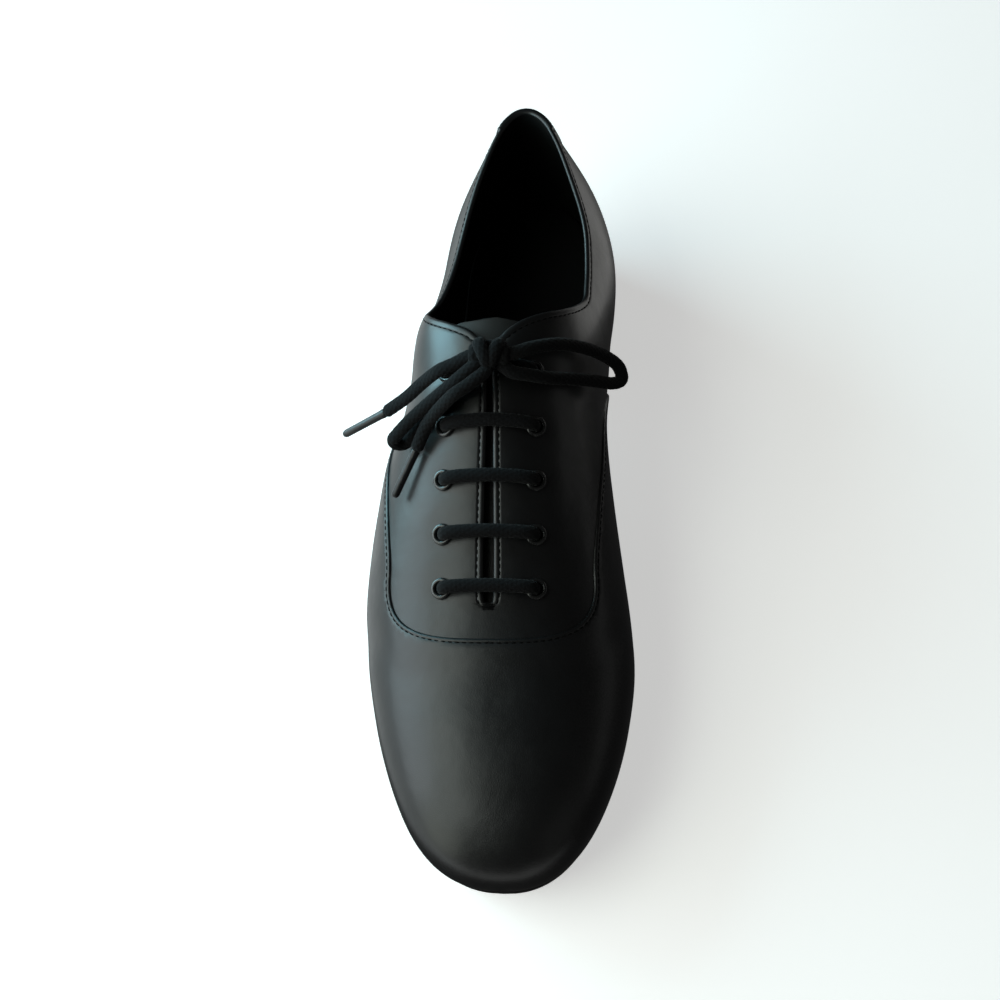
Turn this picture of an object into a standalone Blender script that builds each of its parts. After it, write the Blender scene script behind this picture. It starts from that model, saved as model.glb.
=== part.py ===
"""A right-foot ballroom dance shoe: a plain-toed leather oxford with five pairs of eyelets.

+Z is up, the toe points to -Y and the inner (medial) side of the foot is at +X.
All sizes below are in millimetres; MM turns them into metres.
A station is a share of the shoe's length, 0 at the heel's back and 1 at the toe's tip.
Across is a distance over the upper from the lacing's centre line, positive to the medial side.
"""

import math

import bmesh
import bpy
import numpy as np
from mathutils import Matrix, Vector

MM = 0.001
MEDIAL = 1
LATERAL = -1

LENGTH = 288.5
WALL = 2.0
GAP = 0.3
AXIS_X = 4.4
BACK_HEIGHT = 87.0

# Rounding of the plan at both ends and of the toe's profile, as superellipses.
HEEL_ROUND_TO = 0.2
HEEL_POWER_SOLE = 2.8
HEEL_POWER = 2.15
HEEL_POWER_TOP = 1.95
TOE_ROUND_FROM = 0.72
TOE_POWER = 2.3
TOE_TOP_POWER = 2.6

# How far the back and the toe draw in, under and over the widest line.
HEEL_TUCK = 2.5
BACK_LEAN = 3.5
BACK_LEAN_POWER = 1.6
TOE_TUCK = 3.0

# Handles of the section curve under the widest line, as shares of its width and height.
UNDER_OUT = 0.75
UNDER_UP = 0.25
UNDER_SIDE = 0.45

# axis: sideways place of the piece's centre from AXIS_X. wide: half-widths at the widest line.
# sole: half-widths at the feather edge, where the upper meets the sole.
OUTLINE_COLUMNS = ("station", "axis", "wide_medial", "wide_lateral", "sole_medial", "sole_lateral")
OUTLINE = (
    (0.00, 2.1, 32.5, 31.5, 28.0, 27.5),
    (0.10, 2.3, 33.0, 32.0, 29.0, 28.5),
    (0.20, 2.5, 33.7, 33.0, 29.0, 29.0),
    (0.30, 0.5, 34.0, 35.8, 26.5, 30.0),
    (0.40, 0.0, 33.0, 40.3, 25.0, 34.0),
    (0.50, 0.0, 36.2, 49.0, 28.5, 42.5),
    (0.60, 0.0, 40.3, 52.5, 34.5, 47.5),
    (0.66, 0.0, 42.8, 52.7, 37.8, 48.0),
    (0.72, 0.0, 44.4, 50.8, 39.7, 46.3),
    (0.80, 0.0, 43.6, 47.6, 39.2, 43.3),
    (0.90, 0.0, 42.4, 44.9, 38.1, 40.7),
    (1.00, 0.0, 42.6, 45.3, 38.4, 41.3),
)

# sole_top: the outsole's upper side. bulge: rise of the widest line over it. ridge: height of the
# last's top line, ridge_x: its sideways place from the axis, cone: half-width of the top at the back.
PROFILE_COLUMNS = ("station", "sole_top", "bulge", "ridge", "ridge_x", "cone", "top_angle")
PROFILE = (
    (0.00, 27.0, 19.0, 102.0, 0.0, 14.0, 68.0),
    (0.10, 26.2, 19.0, 102.0, 0.0, 12.5, 66.0),
    (0.20, 24.6, 20.0, 102.0, 0.0, 13.0, 58.0),
    (0.30, 20.3, 22.0, 101.5, -2.0, 10.0, 33.0),
    (0.36, 16.4, 23.5, 98.5, -4.6, 3.0, 8.0),
    (0.40, 13.8, 24.0, 94.3, -5.2, 0.0, 0.0),
    (0.50, 8.0, 24.0, 82.3, -5.2, 0.0, 0.0),
    (0.58, 4.6, 23.0, 72.7, -5.2, 0.0, 0.0),
    (0.63, 4.0, 22.0, 66.8, -5.1, 0.0, 0.0),
    (0.70, 4.0, 20.5, 59.8, -4.8, 0.0, 0.0),
    (0.80, 5.2, 18.0, 52.8, -3.2, 0.0, 0.0),
    (0.90, 8.0, 14.5, 49.0, -1.2, 0.0, 0.0),
    (1.00, 12.0, 9.0, 47.0, 0.0, 0.0, 0.0),
)

# Pull of the section curve at the side and over the top: 0.55 makes a quarter ellipse.
SHAPE_COLUMNS = ("station", "side_pull", "top_pull")
SHAPE = (
    (0.00, 0.40, 0.42),
    (0.20, 0.44, 0.52),
    (0.30, 0.55, 0.70),
    (0.36, 0.58, 0.72),
    (0.45, 0.48, 0.60),
    (0.60, 0.50, 0.58),
    (0.75, 0.54, 0.58),
    (0.90, 0.60, 0.62),
    (1.00, 0.60, 0.62),
)

# How far the lateral side leans out at the collar's height, under 0 inward.
FLARE_COLUMNS = ("station", "flare")
FLARE = (
    (0.000, 0.0),
    (0.080, 0.0),
    (0.100, 0.0),
    (0.200, -1.2),
    (0.285, -2.4),
    (0.335, 3.6),
    (0.370, 2.8),
    (0.430, 0.3),
    (0.460, 0.0),
    (0.480, 0.0),
    (0.500, 0.0),
    (1.000, 0.0),
)
FLARE_POWER = 2

# Height of the collar's edge on each side.
TOPLINE_COLUMNS = ("station", "top_medial", "top_lateral")
TOPLINE = (
    (0.000, 87.0, 87.0),
    (0.030, 86.2, 86.0),
    (0.080, 83.0, 82.3),
    (0.150, 78.5, 77.0),
    (0.220, 75.5, 73.5),
    (0.270, 75.5, 73.8),
    (0.300, 77.0, 75.5),
    (0.325, 82.7, 80.2),
    (0.343, 87.9, 85.6),
    (0.362, 93.1, 90.5),
    (0.375, 94.9, 93.4),
    (0.388, 95.0, 94.8),
    (0.400, 94.2, 94.2),
    (0.412, 93.2, 93.2),
)

# Lacing: the gap between the facings, the eyelets and the lace.
FACING_TOP = 0.412
THROAT_BASE = 0.694
THROAT_GAP_TOP = 0.7
THROAT_GAP_BASE = 2.1
THROAT_END_POWER = 9.0
THROAT_END = 0.004
FACING_TURN = 0.06
EYELET_PAIRS = 5
EYELET_FIRST = 0.677
EYELET_LAST = 0.431
EYELET_ACROSS = 16.5
EYELET_BORE = 2.1
EYELET_BARREL = 2.55
EYELET_FLANGE = 3.8
EYELET_RISE = 1.15
EYELET_EDGE = 0.3
EYELET_CREST = 0.2
EYELET_DIP = 0.5
EYELET_CLINCH = 0.2
EYELET_TURNS = 10
CUTTER_LENGTH = 8.0
LACE_RADIUS = 2.0
BAR_POINTS = 7

# Bow: each row is a place (x, y, z) of the lace's centre line.
KNOT_STATION = 0.425
KNOT_ACROSS = 1.6
KNOT_LIFT = 9.7
KNOT_HALF = (7.0, 4.6, 3.7)
KNOT_TURNS = 12
KNOT_RINGS = 8
AGLET_RADIUS = 1.5
ROUTES = {
    "lace_loop_lateral": (
        (-5.6, 13.9, 99.1),
        (-11.1, 10.7, 96.0),
        (-16.6, 8.5, 91.6),
        (-22.4, 6.3, 86.9),
        (-27.1, 4.3, 82.9),
        (-31.0, 2.2, 79.6),
        (-34.0, 0.6, 76.5),
        (-35.3, -0.1, 74.8),
        (-35.1, -0.3, 72.5),
        (-33.4, 0.1, 71.0),
        (-31.3, 0.9, 71.1),
        (-28.6, 2.6, 74.0),
        (-25.7, 5.3, 77.3),
        (-21.1, 8.7, 82.2),
        (-16.2, 10.6, 86.9),
        (-11.2, 10.8, 90.6),
        (-5.4, 11.5, 94.7),
    ),
    "lace_loop_medial": (
        (7.2, 18.2, 100.2),
        (14.5, 21.8, 98.6),
        (23.0, 26.6, 93.5),
        (31.0, 30.8, 85.0),
        (38.0, 33.5, 76.0),
        (42.8, 33.4, 69.4),
        (44.0, 29.8, 66.4),
        (40.8, 26.6, 68.6),
        (34.4, 23.2, 75.4),
        (27.0, 19.4, 82.6),
        (19.8, 15.2, 89.8),
        (12.6, 13.6, 94.3),
        (7.4, 13.4, 96.6),
    ),
    "lace_end_outer": (
        (-6.9, 18.2, 99.1),
        (-12.5, 16.9, 96.4),
        (-18.2, 16.0, 93.5),
        (-24.6, 15.9, 86.3),
        (-31.5, 14.8, 78.4),
        (-39.9, 13.8, 70.5),
    ),
    "lace_end_inner": (
        (-1.0, 12.4, 99.1),
        (-7.0, 7.5, 97.5),
        (-12.2, 4.9, 95.3),
        (-18.0, 3.3, 88.5),
        (-22.8, 1.2, 81.8),
        (-27.0, -4.2, 74.5),
    ),
}
AGLETS = {
    "aglet_outer": ((-40.2, 13.7, 70.3), (-56.5, 10.6, 60.4)),
    "aglet_inner": ((-27.2, -4.5, 74.2), (-35.2, -17.5, 64.3)),
}

# Vamp seam: a rounded U round the facings, seen in the plane of the upper.
SEAM_FRONT = 0.737
SEAM_ROUND = 27.0
SEAM_HALF = 39.0
SEAM_POWER = 2.5
SEAM_SPREAD = 0.33
SEAM_EASE = 12.0
SEAM_DROP = 0.004
SEAM_DROP_FROM = 50.0
SEAM_STEP = 0.9
SEAM_RAMP = 0.6
SEAM_BLEND = 14.0
SEAM_FOOT = 12.0

# Heel tab: the short strip over the back seam.
TAB_HALF = 16.0
TAB_DROP = 34.0
TAB_STEP = 0.8
TAB_RAMP = 0.6
TAB_SIDE_POWER = 2
TAB_FOOT_POWER = 4

# Bottom.
SOLE_THICKNESS = 4.0
SOLE_EDGE = 0.8
SOLE_BEVEL = 1.0
HEEL_BREAST = 0.255
HEEL_TAPER = 2.5
TOP_PIECE = 5.0
INSOLE_THICKNESS = 2.5
INSOLE_INSET = 2.6

# Tongue.
TONGUE_TOP = 0.372
TONGUE_FRONT = 0.735
TONGUE_THICKNESS = 1.8
TONGUE_HALF_TOP = 29.0
TONGUE_HALF_FRONT = 17.0
TONGUE_CLEAR = 2.6
TONGUE_ROUND = 0.085
TONGUE_TIP = 0.01
TONGUE_ROUND_POWER = 3.0
TONGUE_SEAT_FROM = 0.80
TONGUE_SEAT_TO = 0.96

# How finely the surfaces are faceted.
SECTION_STEPS = 48
UNDER_STEPS = 12
STATION_APART = 0.0005
HEEL_ANGLES = range(0, 90, 13)
MIDDLE_STATIONS = 30
TOE_ANGLES = (10, 20, 30, 40, 50, 60, 70, 79, 86, 90)
BREAST_APART = 0.004
WALL_COLUMNS = 11
TONGUE_COLUMNS = 5
TONGUE_RINGS = 22
NORMAL_STEP = 0.5
MERGE = 2e-6
SNAP = 0.04
TINY = 1e-6
SHARP_ANGLE = 40


def through(stations, values):
    """A smooth function through a table's values."""
    x = np.array(stations, float)
    y = np.array(values, float)
    slope = np.gradient(y, x)

    def at(s):
        i = int(np.clip(np.searchsorted(x, s) - 1, 0, len(x) - 2))
        h = x[i + 1] - x[i]
        u = (s - x[i]) / h
        start = (1 + 2 * u) * (1 - u) ** 2 * y[i] + u * (1 - u) ** 2 * h * slope[i]
        end = u * u * (3 - 2 * u) * y[i + 1] + u * u * (u - 1) * h * slope[i + 1]
        return float(start + end)

    return at


def table(columns, rows):
    stations = [row[0] for row in rows]
    return {name: through(stations, [row[i] for row in rows]) for i, name in enumerate(columns)}


LAST = {
    **table(OUTLINE_COLUMNS, OUTLINE),
    **table(PROFILE_COLUMNS, PROFILE),
    **table(SHAPE_COLUMNS, SHAPE),
    **table(FLARE_COLUMNS, FLARE),
    **table(TOPLINE_COLUMNS, TOPLINE),
}


def blend(share):
    share = min(max(share, 0.0), 1.0)
    return share * share * (3 - 2 * share)


def toe_share(s):
    return max(0.0, (s - TOE_ROUND_FROM) / (1 - TOE_ROUND_FROM))


def heel_share(s):
    return max(0.0, (HEEL_ROUND_TO - s) / HEEL_ROUND_TO)


def superellipse(share, power):
    return max(0.0, 1 - min(share, 1.0) ** power) ** (1 / power)


def rounding(s, heel_power):
    """1 along the shoe, falling to 0 at the heel's back and at the toe's tip."""
    return superellipse(toe_share(s), TOE_POWER) * superellipse(heel_share(s), heel_power)


def along(s):
    return (0.5 - s) * LENGTH


def axis(s):
    return AXIS_X + LAST["axis"](s)


def of_side(name, side, s):
    """A value of the tables that has a column for each side."""
    return LAST[name + ("_medial" if side == MEDIAL else "_lateral")](s)


def bezier(points, steps):
    t = np.linspace(0, 1, steps + 1)[:, None]
    a, b, c, d = (np.array(p, float) for p in points)
    return (1 - t) ** 3 * a + 3 * t * (1 - t) ** 2 * b + 3 * t * t * (1 - t) * c + t**3 * d


def section(s, side):
    """The last's half-section at a station, from the feather edge up to the top line."""
    low = LAST["sole_top"](s) + GAP
    wide = low + LAST["bulge"](s)
    top = wide + (LAST["ridge"](s) - wide) * superellipse(toe_share(s), TOE_TOP_POWER)
    feather_x = of_side("sole", side, s) * rounding(s, HEEL_POWER_SOLE)
    wide_x = of_side("wide", side, s) * rounding(s, HEEL_POWER)
    top_x = LAST["ridge_x"](s) * side + LAST["cone"](s) * rounding(s, HEEL_POWER_TOP)
    angle = math.radians(LAST["top_angle"](s))
    rise = top - wide
    run = wide_x - top_x
    under = bezier(
        (
            (feather_x, low),
            (feather_x + UNDER_OUT * (wide_x - feather_x), low + UNDER_UP * (wide - low)),
            (wide_x, wide - UNDER_SIDE * (wide - low)),
            (wide_x, wide),
        ),
        UNDER_STEPS,
    )
    over = bezier(
        (
            (wide_x, wide),
            (wide_x, wide + LAST["side_pull"](s) * rise),
            (
                top_x + LAST["top_pull"](s) * run * math.cos(angle),
                top - LAST["top_pull"](s) * rise * math.sin(angle),
            ),
            (top_x, top),
        ),
        SECTION_STEPS,
    )
    flat = np.vstack([under, over[1:]])
    below = np.clip((wide - flat[:, 1]) / (wide - low), 0, 1)
    above = np.clip((flat[:, 1] - wide) / (BACK_HEIGHT - wide), 0, None)
    if side == LATERAL:
        flat[:, 0] += LAST["flare"](s) * np.minimum(above, 1.0) ** FLARE_POWER
    y = along(s) - heel_share(s) * (HEEL_TUCK * below**2 + BACK_LEAN * above**BACK_LEAN_POWER)
    y = y + toe_share(s) * TOE_TUCK * below**2
    return np.column_stack([axis(s) + side * flat[:, 0], y, flat[:, 1]])


def lengths(points):
    steps = np.linalg.norm(np.diff(points, axis=0), axis=1)
    return np.concatenate([[0.0], np.cumsum(steps)])


def point_at(points, run, distance):
    return np.array([np.interp(distance, run, points[:, k]) for k in range(3)])


def throat_half(s):
    share = (s - FACING_TOP) / (THROAT_BASE - FACING_TOP)
    width = THROAT_GAP_TOP + (THROAT_GAP_BASE - THROAT_GAP_TOP) * share
    return width * superellipse(max(0.0, share), THROAT_END_POWER)


def wall_end(s, side, points, run):
    """Distance along a section at which the wall stops: collar, facing edge or the top line."""
    end = run[-1]
    if FACING_TOP - FACING_TURN < s < THROAT_BASE:
        away = np.abs(points[:, 0] - axis(s) - LAST["ridge_x"](s))
        end = min(end, float(np.interp(-throat_half(max(s, FACING_TOP)), -away, run)))
    if s < FACING_TOP:
        end = min(end, float(np.interp(of_side("top", side, s), points[:, 2], run)))
    return end


def on_upper(s, across, lift=0.0):
    """A point over the upper, and the upper's outward direction there."""
    side = MEDIAL if across >= 0 else LATERAL

    def surface(station, distance):
        points = section(station, side)
        run = lengths(points)
        return point_at(points, run, run[-1] - distance)

    away = abs(across)
    here = surface(s, away)
    step = NORMAL_STEP / LENGTH
    forward = surface(s + step, away) - surface(s - step, away)
    sideways = surface(s, away + NORMAL_STEP) - surface(s, max(away - NORMAL_STEP, 0.0))
    normal = np.cross(forward, sideways) * side
    normal = normal / np.linalg.norm(normal)
    return here + normal * lift, normal


def seam_half(back):
    """Half of the U's width, some way back from its front."""
    past = max(0.0, back - SEAM_ROUND)
    drop = SEAM_DROP * max(0.0, back - SEAM_DROP_FROM) ** 2
    return SEAM_HALF + SEAM_SPREAD * past * past / (past + SEAM_EASE) + drop


def seam_depth(s, across):
    """Over 0 inside the U of the vamp seam, under 0 on the vamp."""
    back = (SEAM_FRONT - s) * LENGTH
    front = max(0.0, (SEAM_ROUND - back) / SEAM_ROUND)
    reach = (front**SEAM_POWER + (across / seam_half(back)) ** SEAM_POWER) ** (1 / SEAM_POWER)
    return (1 - reach) * SEAM_HALF


def tab_depth(point):
    """Over 0 on the heel tab, under 0 beside it."""
    drop = (BACK_HEIGHT - point[2]) / TAB_DROP
    away = math.hypot(point[0] - axis(0.0), point[1] - along(0.0)) / TAB_HALF
    reach = math.sqrt(max(0.0, drop) ** TAB_FOOT_POWER + away**TAB_SIDE_POWER)
    return (1 - reach) * TAB_HALF


def stations_of():
    """Stations of the sections, closer where the plan turns round the heel and the toe."""
    heel = [HEEL_ROUND_TO * (1 - math.cos(math.radians(a))) for a in HEEL_ANGLES]
    middle = list(np.linspace(HEEL_ROUND_TO, TOE_ROUND_FROM, MIDDLE_STATIONS))
    toe = [TOE_ROUND_FROM + (1 - TOE_ROUND_FROM) * math.sin(math.radians(a)) for a in TOE_ANGLES]
    marks = [FACING_TOP, THROAT_BASE, THROAT_BASE - THROAT_END]
    every = sorted(heel + middle + toe + marks)
    return [s for i, s in enumerate(every) if i == 0 or s - every[i - 1] > STATION_APART]


def weld(bm):
    bmesh.ops.remove_doubles(bm, verts=bm.verts, dist=MERGE)
    bmesh.ops.dissolve_degenerate(bm, edges=bm.edges, dist=MERGE)


def new_object(name, bm, collection, material):
    weld(bm)
    bmesh.ops.recalc_face_normals(bm, faces=bm.faces)
    mesh = bpy.data.meshes.new(name)
    bm.to_mesh(mesh)
    bm.free()
    mesh.materials.append(material)
    mesh.shade_smooth()
    mesh.set_sharp_from_angle(angle=math.radians(SHARP_ANGLE))
    obj = bpy.data.objects.new(name, mesh)
    collection.objects.link(obj)
    return obj


def cut_along(bm, layer, level):
    """Adds edges where a vertex value crosses a level."""
    for edge in list(bm.edges):
        a, b = edge.verts
        before, after = a[layer] - level, b[layer] - level
        if before * after >= 0:
            continue
        share = before / (before - after)
        if share < SNAP:
            a[layer] = level
        elif share > 1 - SNAP:
            b[layer] = level
        else:
            _, vert = bmesh.utils.edge_split(edge, a, share)
            vert[layer] = level
    for face in list(bm.faces):
        on = [v for v in face.verts if abs(v[layer] - level) < TINY]
        if len(on) == 2 and not any(set(e.verts) == set(on) for e in face.edges):
            bmesh.utils.face_split(face, on[0], on[1])


def build_upper(collection, material):
    bm = bmesh.new()
    seam = bm.verts.layers.float.new("seam")
    tab = bm.verts.layers.float.new("tab")
    foot = bm.verts.layers.float.new("foot")
    stations = stations_of()
    for side in (MEDIAL, LATERAL):
        rows = []
        for s in stations:
            points = section(s, side)
            run = lengths(points)
            row = []
            for distance in np.linspace(0, wall_end(s, side, points, run), WALL_COLUMNS + 1):
                point = point_at(points, run, distance)
                vert = bm.verts.new(Vector(point) * MM)
                vert[seam] = seam_depth(s, run[-1] - distance)
                vert[tab] = tab_depth(point)
                vert[foot] = distance
                row.append(vert)
            rows.append(row)
        for i in range(len(rows) - 1):
            for j in range(WALL_COLUMNS):
                quad = [rows[i][j], rows[i + 1][j], rows[i + 1][j + 1], rows[i][j + 1]]
                bm.faces.new(quad if side == LATERAL else quad[::-1])
    weld(bm)
    for layer, level in ((seam, 0.0), (seam, -SEAM_RAMP), (tab, 0.0), (tab, TAB_RAMP)):
        cut_along(bm, layer, level)
    bm.normal_update()
    normals = {v: v.normal.copy() for v in bm.verts}
    faces = list(bm.faces)
    rims = [e.link_loops[0] for e in bm.edges if e.is_boundary]
    rims = [(loop.vert, loop.link_loop_next.vert) for loop in rims]
    outer = list(bm.verts)
    inner = {v: bm.verts.new(v.co - normals[v] * WALL * MM) for v in outer}
    for face in faces:
        bm.faces.new([inner[v] for v in reversed(face.verts)])
    for a, b in rims:
        bm.faces.new([b, a, inner[a], inner[b]])
    for v in outer:
        on_vamp = min(max(-v[seam] / SEAM_RAMP, 0.0), 1.0)
        fade = 1 - blend((-v[seam] - SEAM_RAMP) / SEAM_BLEND)
        fade *= blend(v[foot] / SEAM_FOOT)
        on_tab = min(max(v[tab] / TAB_RAMP, 0.0), 1.0)
        v.co += normals[v] * (SEAM_STEP * on_vamp * fade + TAB_STEP * on_tab) * MM
    return new_object("upper", bm, collection, material)


def feather(s, side, grow):
    """A point of the bottom outline, grown outward."""
    x = axis(s) + side * (of_side("sole", side, s) + grow) * rounding(s, HEEL_POWER_SOLE)
    y = along(s) + heel_share(s) * (grow - HEEL_TUCK) - toe_share(s) * (grow - TOE_TUCK)
    return x, y


def loft(name, rings, collection, material):
    """A closed solid through rings of points; an open end is capped."""
    bm = bmesh.new()
    rows = [[bm.verts.new(Vector(p) * MM) for p in ring] for ring in rings]
    count = len(rows[0])
    for a, b in zip(rows, rows[1:]):
        for j in range(count):
            k = (j + 1) % count
            bm.faces.new((a[j], b[j], b[k], a[k]))
    bm.faces.new(rows[0])
    bm.faces.new(rows[-1][::-1])
    return new_object(name, bm, collection, material)


def slab_ring(s, levels):
    """A section through a bottom piece: levels are (height, growth) rows from low to high."""
    sides = []
    for side in (LATERAL, MEDIAL):
        sides.append([(*feather(s, side, grow), z) for z, grow in levels])
    left, right = sides
    low = tuple((np.array(left[0]) + np.array(right[0])) / 2)
    high = tuple((np.array(left[-1]) + np.array(right[-1])) / 2)
    return [low] + left + [high] + right[::-1]


def sole_levels(s):
    top = LAST["sole_top"](s)
    low = max(0.0, top - SOLE_THICKNESS)
    return ((low, SOLE_EDGE - SOLE_BEVEL), (low + SOLE_BEVEL, SOLE_EDGE), (top, SOLE_EDGE))


def build_bottom(collection, materials):
    stations = stations_of()
    sole = [slab_ring(s, sole_levels(s)) for s in stations]
    loft("outsole", sole, collection, materials["sole"])
    heel_stations = [s for s in stations if s < HEEL_BREAST - BREAST_APART] + [HEEL_BREAST]

    def grow_at(z, top):
        return SOLE_EDGE - SOLE_BEVEL - HEEL_TAPER * (1 - z / top)

    block = []
    piece = []
    for s in heel_stations:
        top = LAST["sole_top"](s) - SOLE_THICKNESS - GAP
        low = TOP_PIECE + GAP
        block.append(slab_ring(s, ((low, grow_at(low, top)), (top, grow_at(top, top)))))
        piece.append(slab_ring(s, ((0.0, grow_at(0.0, top)), (TOP_PIECE, grow_at(TOP_PIECE, top)))))
    loft("heel_block", block, collection, materials["heel"])
    loft("heel_top_piece", piece, collection, materials["rubber"])
    insole = []
    for s in stations:
        low = LAST["sole_top"](s) + GAP
        insole.append(slab_ring(s, ((low, -INSOLE_INSET), (low + INSOLE_THICKNESS, -INSOLE_INSET))))
    loft("insole", insole, collection, materials["insole"])


def build_tongue(collection, material):
    rings = []
    for s in np.linspace(TONGUE_TOP, TONGUE_FRONT, TONGUE_RINGS):
        share = (s - TONGUE_TOP) / (TONGUE_FRONT - TONGUE_TOP)
        half = TONGUE_HALF_TOP + (TONGUE_HALF_FRONT - TONGUE_HALF_TOP) * share
        turn = max(0.0, (TONGUE_ROUND - share) / (TONGUE_ROUND + TONGUE_TIP))
        half *= superellipse(turn, TONGUE_ROUND_POWER)
        seated = blend((share - TONGUE_SEAT_FROM) / (TONGUE_SEAT_TO - TONGUE_SEAT_FROM))
        clear = GAP + TONGUE_CLEAR * (1 - seated)
        ring = []
        for depth in (clear, clear + TONGUE_THICKNESS):
            row = [on_upper(s, across, -(WALL + depth))[0] for across in tongue_columns(half)]
            ring += row if depth == clear else row[::-1]
        rings.append(ring)
    return loft("tongue", rings, collection, material)


def tongue_columns(half):
    return np.linspace(-half, half, 2 * TONGUE_COLUMNS + 1)


def eyelet_stations():
    return np.linspace(EYELET_FIRST, EYELET_LAST, EYELET_PAIRS)


def frame_at(s, across):
    """A matrix standing on the upper with its Z along the outward direction."""
    point, normal = on_upper(s, across)
    turn = Vector(normal).to_track_quat("Z", "Y").to_matrix().to_4x4()
    return Matrix.Translation(Vector(point) * MM) @ turn


def build_eyelet(name, s, across, collection, material):
    """A ring turned from its profile: flange over the facing, barrel through it."""
    profile = (
        (EYELET_FLANGE, GAP),
        (EYELET_FLANGE - EYELET_EDGE, EYELET_RISE - EYELET_EDGE),
        (EYELET_BARREL + EYELET_CREST, EYELET_RISE),
        (EYELET_BORE, EYELET_RISE - EYELET_DIP),
        (EYELET_BORE, -WALL - EYELET_CLINCH),
        (EYELET_BARREL, -WALL - EYELET_CLINCH),
        (EYELET_BARREL, GAP),
    )
    mesh = bpy.data.meshes.new(name)
    ring = [Vector((r, 0, z)) * MM for r, z in profile]
    mesh.from_pydata(ring, [(i, (i + 1) % len(ring)) for i in range(len(ring))], [])
    mesh.materials.append(material)
    obj = bpy.data.objects.new(name, mesh)
    collection.objects.link(obj)
    screw = obj.modifiers.new("turn", "SCREW")
    screw.axis = "Z"
    screw.steps = EYELET_TURNS
    screw.render_steps = EYELET_TURNS
    screw.use_merge_vertices = True
    screw.merge_threshold = MERGE
    screw.use_normal_flip = True
    obj.matrix_world = frame_at(s, across)
    return obj


def cut_eyelet_holes(upper, cutters):
    bm = bmesh.new()
    for s in eyelet_stations():
        for across in (-EYELET_ACROSS, EYELET_ACROSS):
            bmesh.ops.create_cone(
                bm,
                cap_ends=True,
                segments=EYELET_TURNS,
                radius1=(EYELET_BARREL + GAP) * MM,
                radius2=(EYELET_BARREL + GAP) * MM,
                depth=CUTTER_LENGTH * MM,
                matrix=frame_at(s, across),
            )
    mesh = bpy.data.meshes.new("eyelet_holes")
    bm.to_mesh(mesh)
    bm.free()
    cutter = bpy.data.objects.new("eyelet_holes", mesh)
    cutter.hide_render = True
    cutter.display_type = "WIRE"
    cutters.objects.link(cutter)
    holes = upper.modifiers.new("eyelet_holes", "BOOLEAN")
    holes.operation = "DIFFERENCE"
    holes.solver = "EXACT"
    holes.object = cutter


def cord(name, points, radius, collection, material):
    curve = bpy.data.curves.new(name, "CURVE")
    curve.dimensions = "3D"
    curve.bevel_depth = radius * MM
    curve.bevel_resolution = 2
    curve.use_fill_caps = True
    spline = curve.splines.new("POLY")
    spline.points.add(len(points) - 1)
    for spot, point in zip(spline.points, points):
        spot.co = (*(Vector(point) * MM), 1.0)
    curve.materials.append(material)
    obj = bpy.data.objects.new(name, curve)
    collection.objects.link(obj)
    return obj


def build_lacing(collection, materials):
    lift = EYELET_RISE + GAP + LACE_RADIUS
    for number, s in enumerate(eyelet_stations(), 1):
        for side, across in (("lateral", -EYELET_ACROSS), ("medial", EYELET_ACROSS)):
            build_eyelet(f"eyelet_{side}_{number}", s, across, collection, materials["metal"])
        places = np.linspace(-EYELET_ACROSS, EYELET_ACROSS, BAR_POINTS)
        bar = [on_upper(s, across, lift)[0] for across in places]
        cord(f"lace_bar_{number}", bar, LACE_RADIUS, collection, materials["lace"])


def smooth_route(points):
    """The route with a point added between each two, on a smooth curve through them."""
    rows = np.array(points, float)
    middle = np.arange(len(rows) - 1) + 0.5
    every = np.sort(np.concatenate([np.arange(len(rows)), middle]))
    columns = [through(range(len(rows)), rows[:, k]) for k in range(3)]
    return [[column(place) for column in columns] for place in every]


def build_bow(collection, materials):
    for name, points in ROUTES.items():
        cord(name, smooth_route(points), LACE_RADIUS, collection, materials["lace"])
    for name, points in AGLETS.items():
        cord(name, points, AGLET_RADIUS, collection, materials["aglet"])
    bm = bmesh.new()
    bmesh.ops.create_uvsphere(bm, u_segments=KNOT_TURNS, v_segments=KNOT_RINGS, radius=MM)
    point, normal = on_upper(KNOT_STATION, KNOT_ACROSS, KNOT_LIFT)
    turn = Vector(normal).to_track_quat("Z", "Y").to_matrix().to_4x4()
    size = Matrix.Diagonal((*KNOT_HALF, 1.0))
    bm.transform(Matrix.Translation(Vector(point) * MM) @ turn @ size)
    new_object("lace_knot", bm, collection, materials["lace"])


def material(name, colour, roughness, metallic=0.0):
    made = bpy.data.materials.new(name)
    made.use_nodes = True
    shader = made.node_tree.nodes["Principled BSDF"]
    shader.inputs["Base Color"].default_value = (*colour, 1.0)
    shader.inputs["Roughness"].default_value = roughness
    shader.inputs["Metallic"].default_value = metallic
    return made


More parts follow.
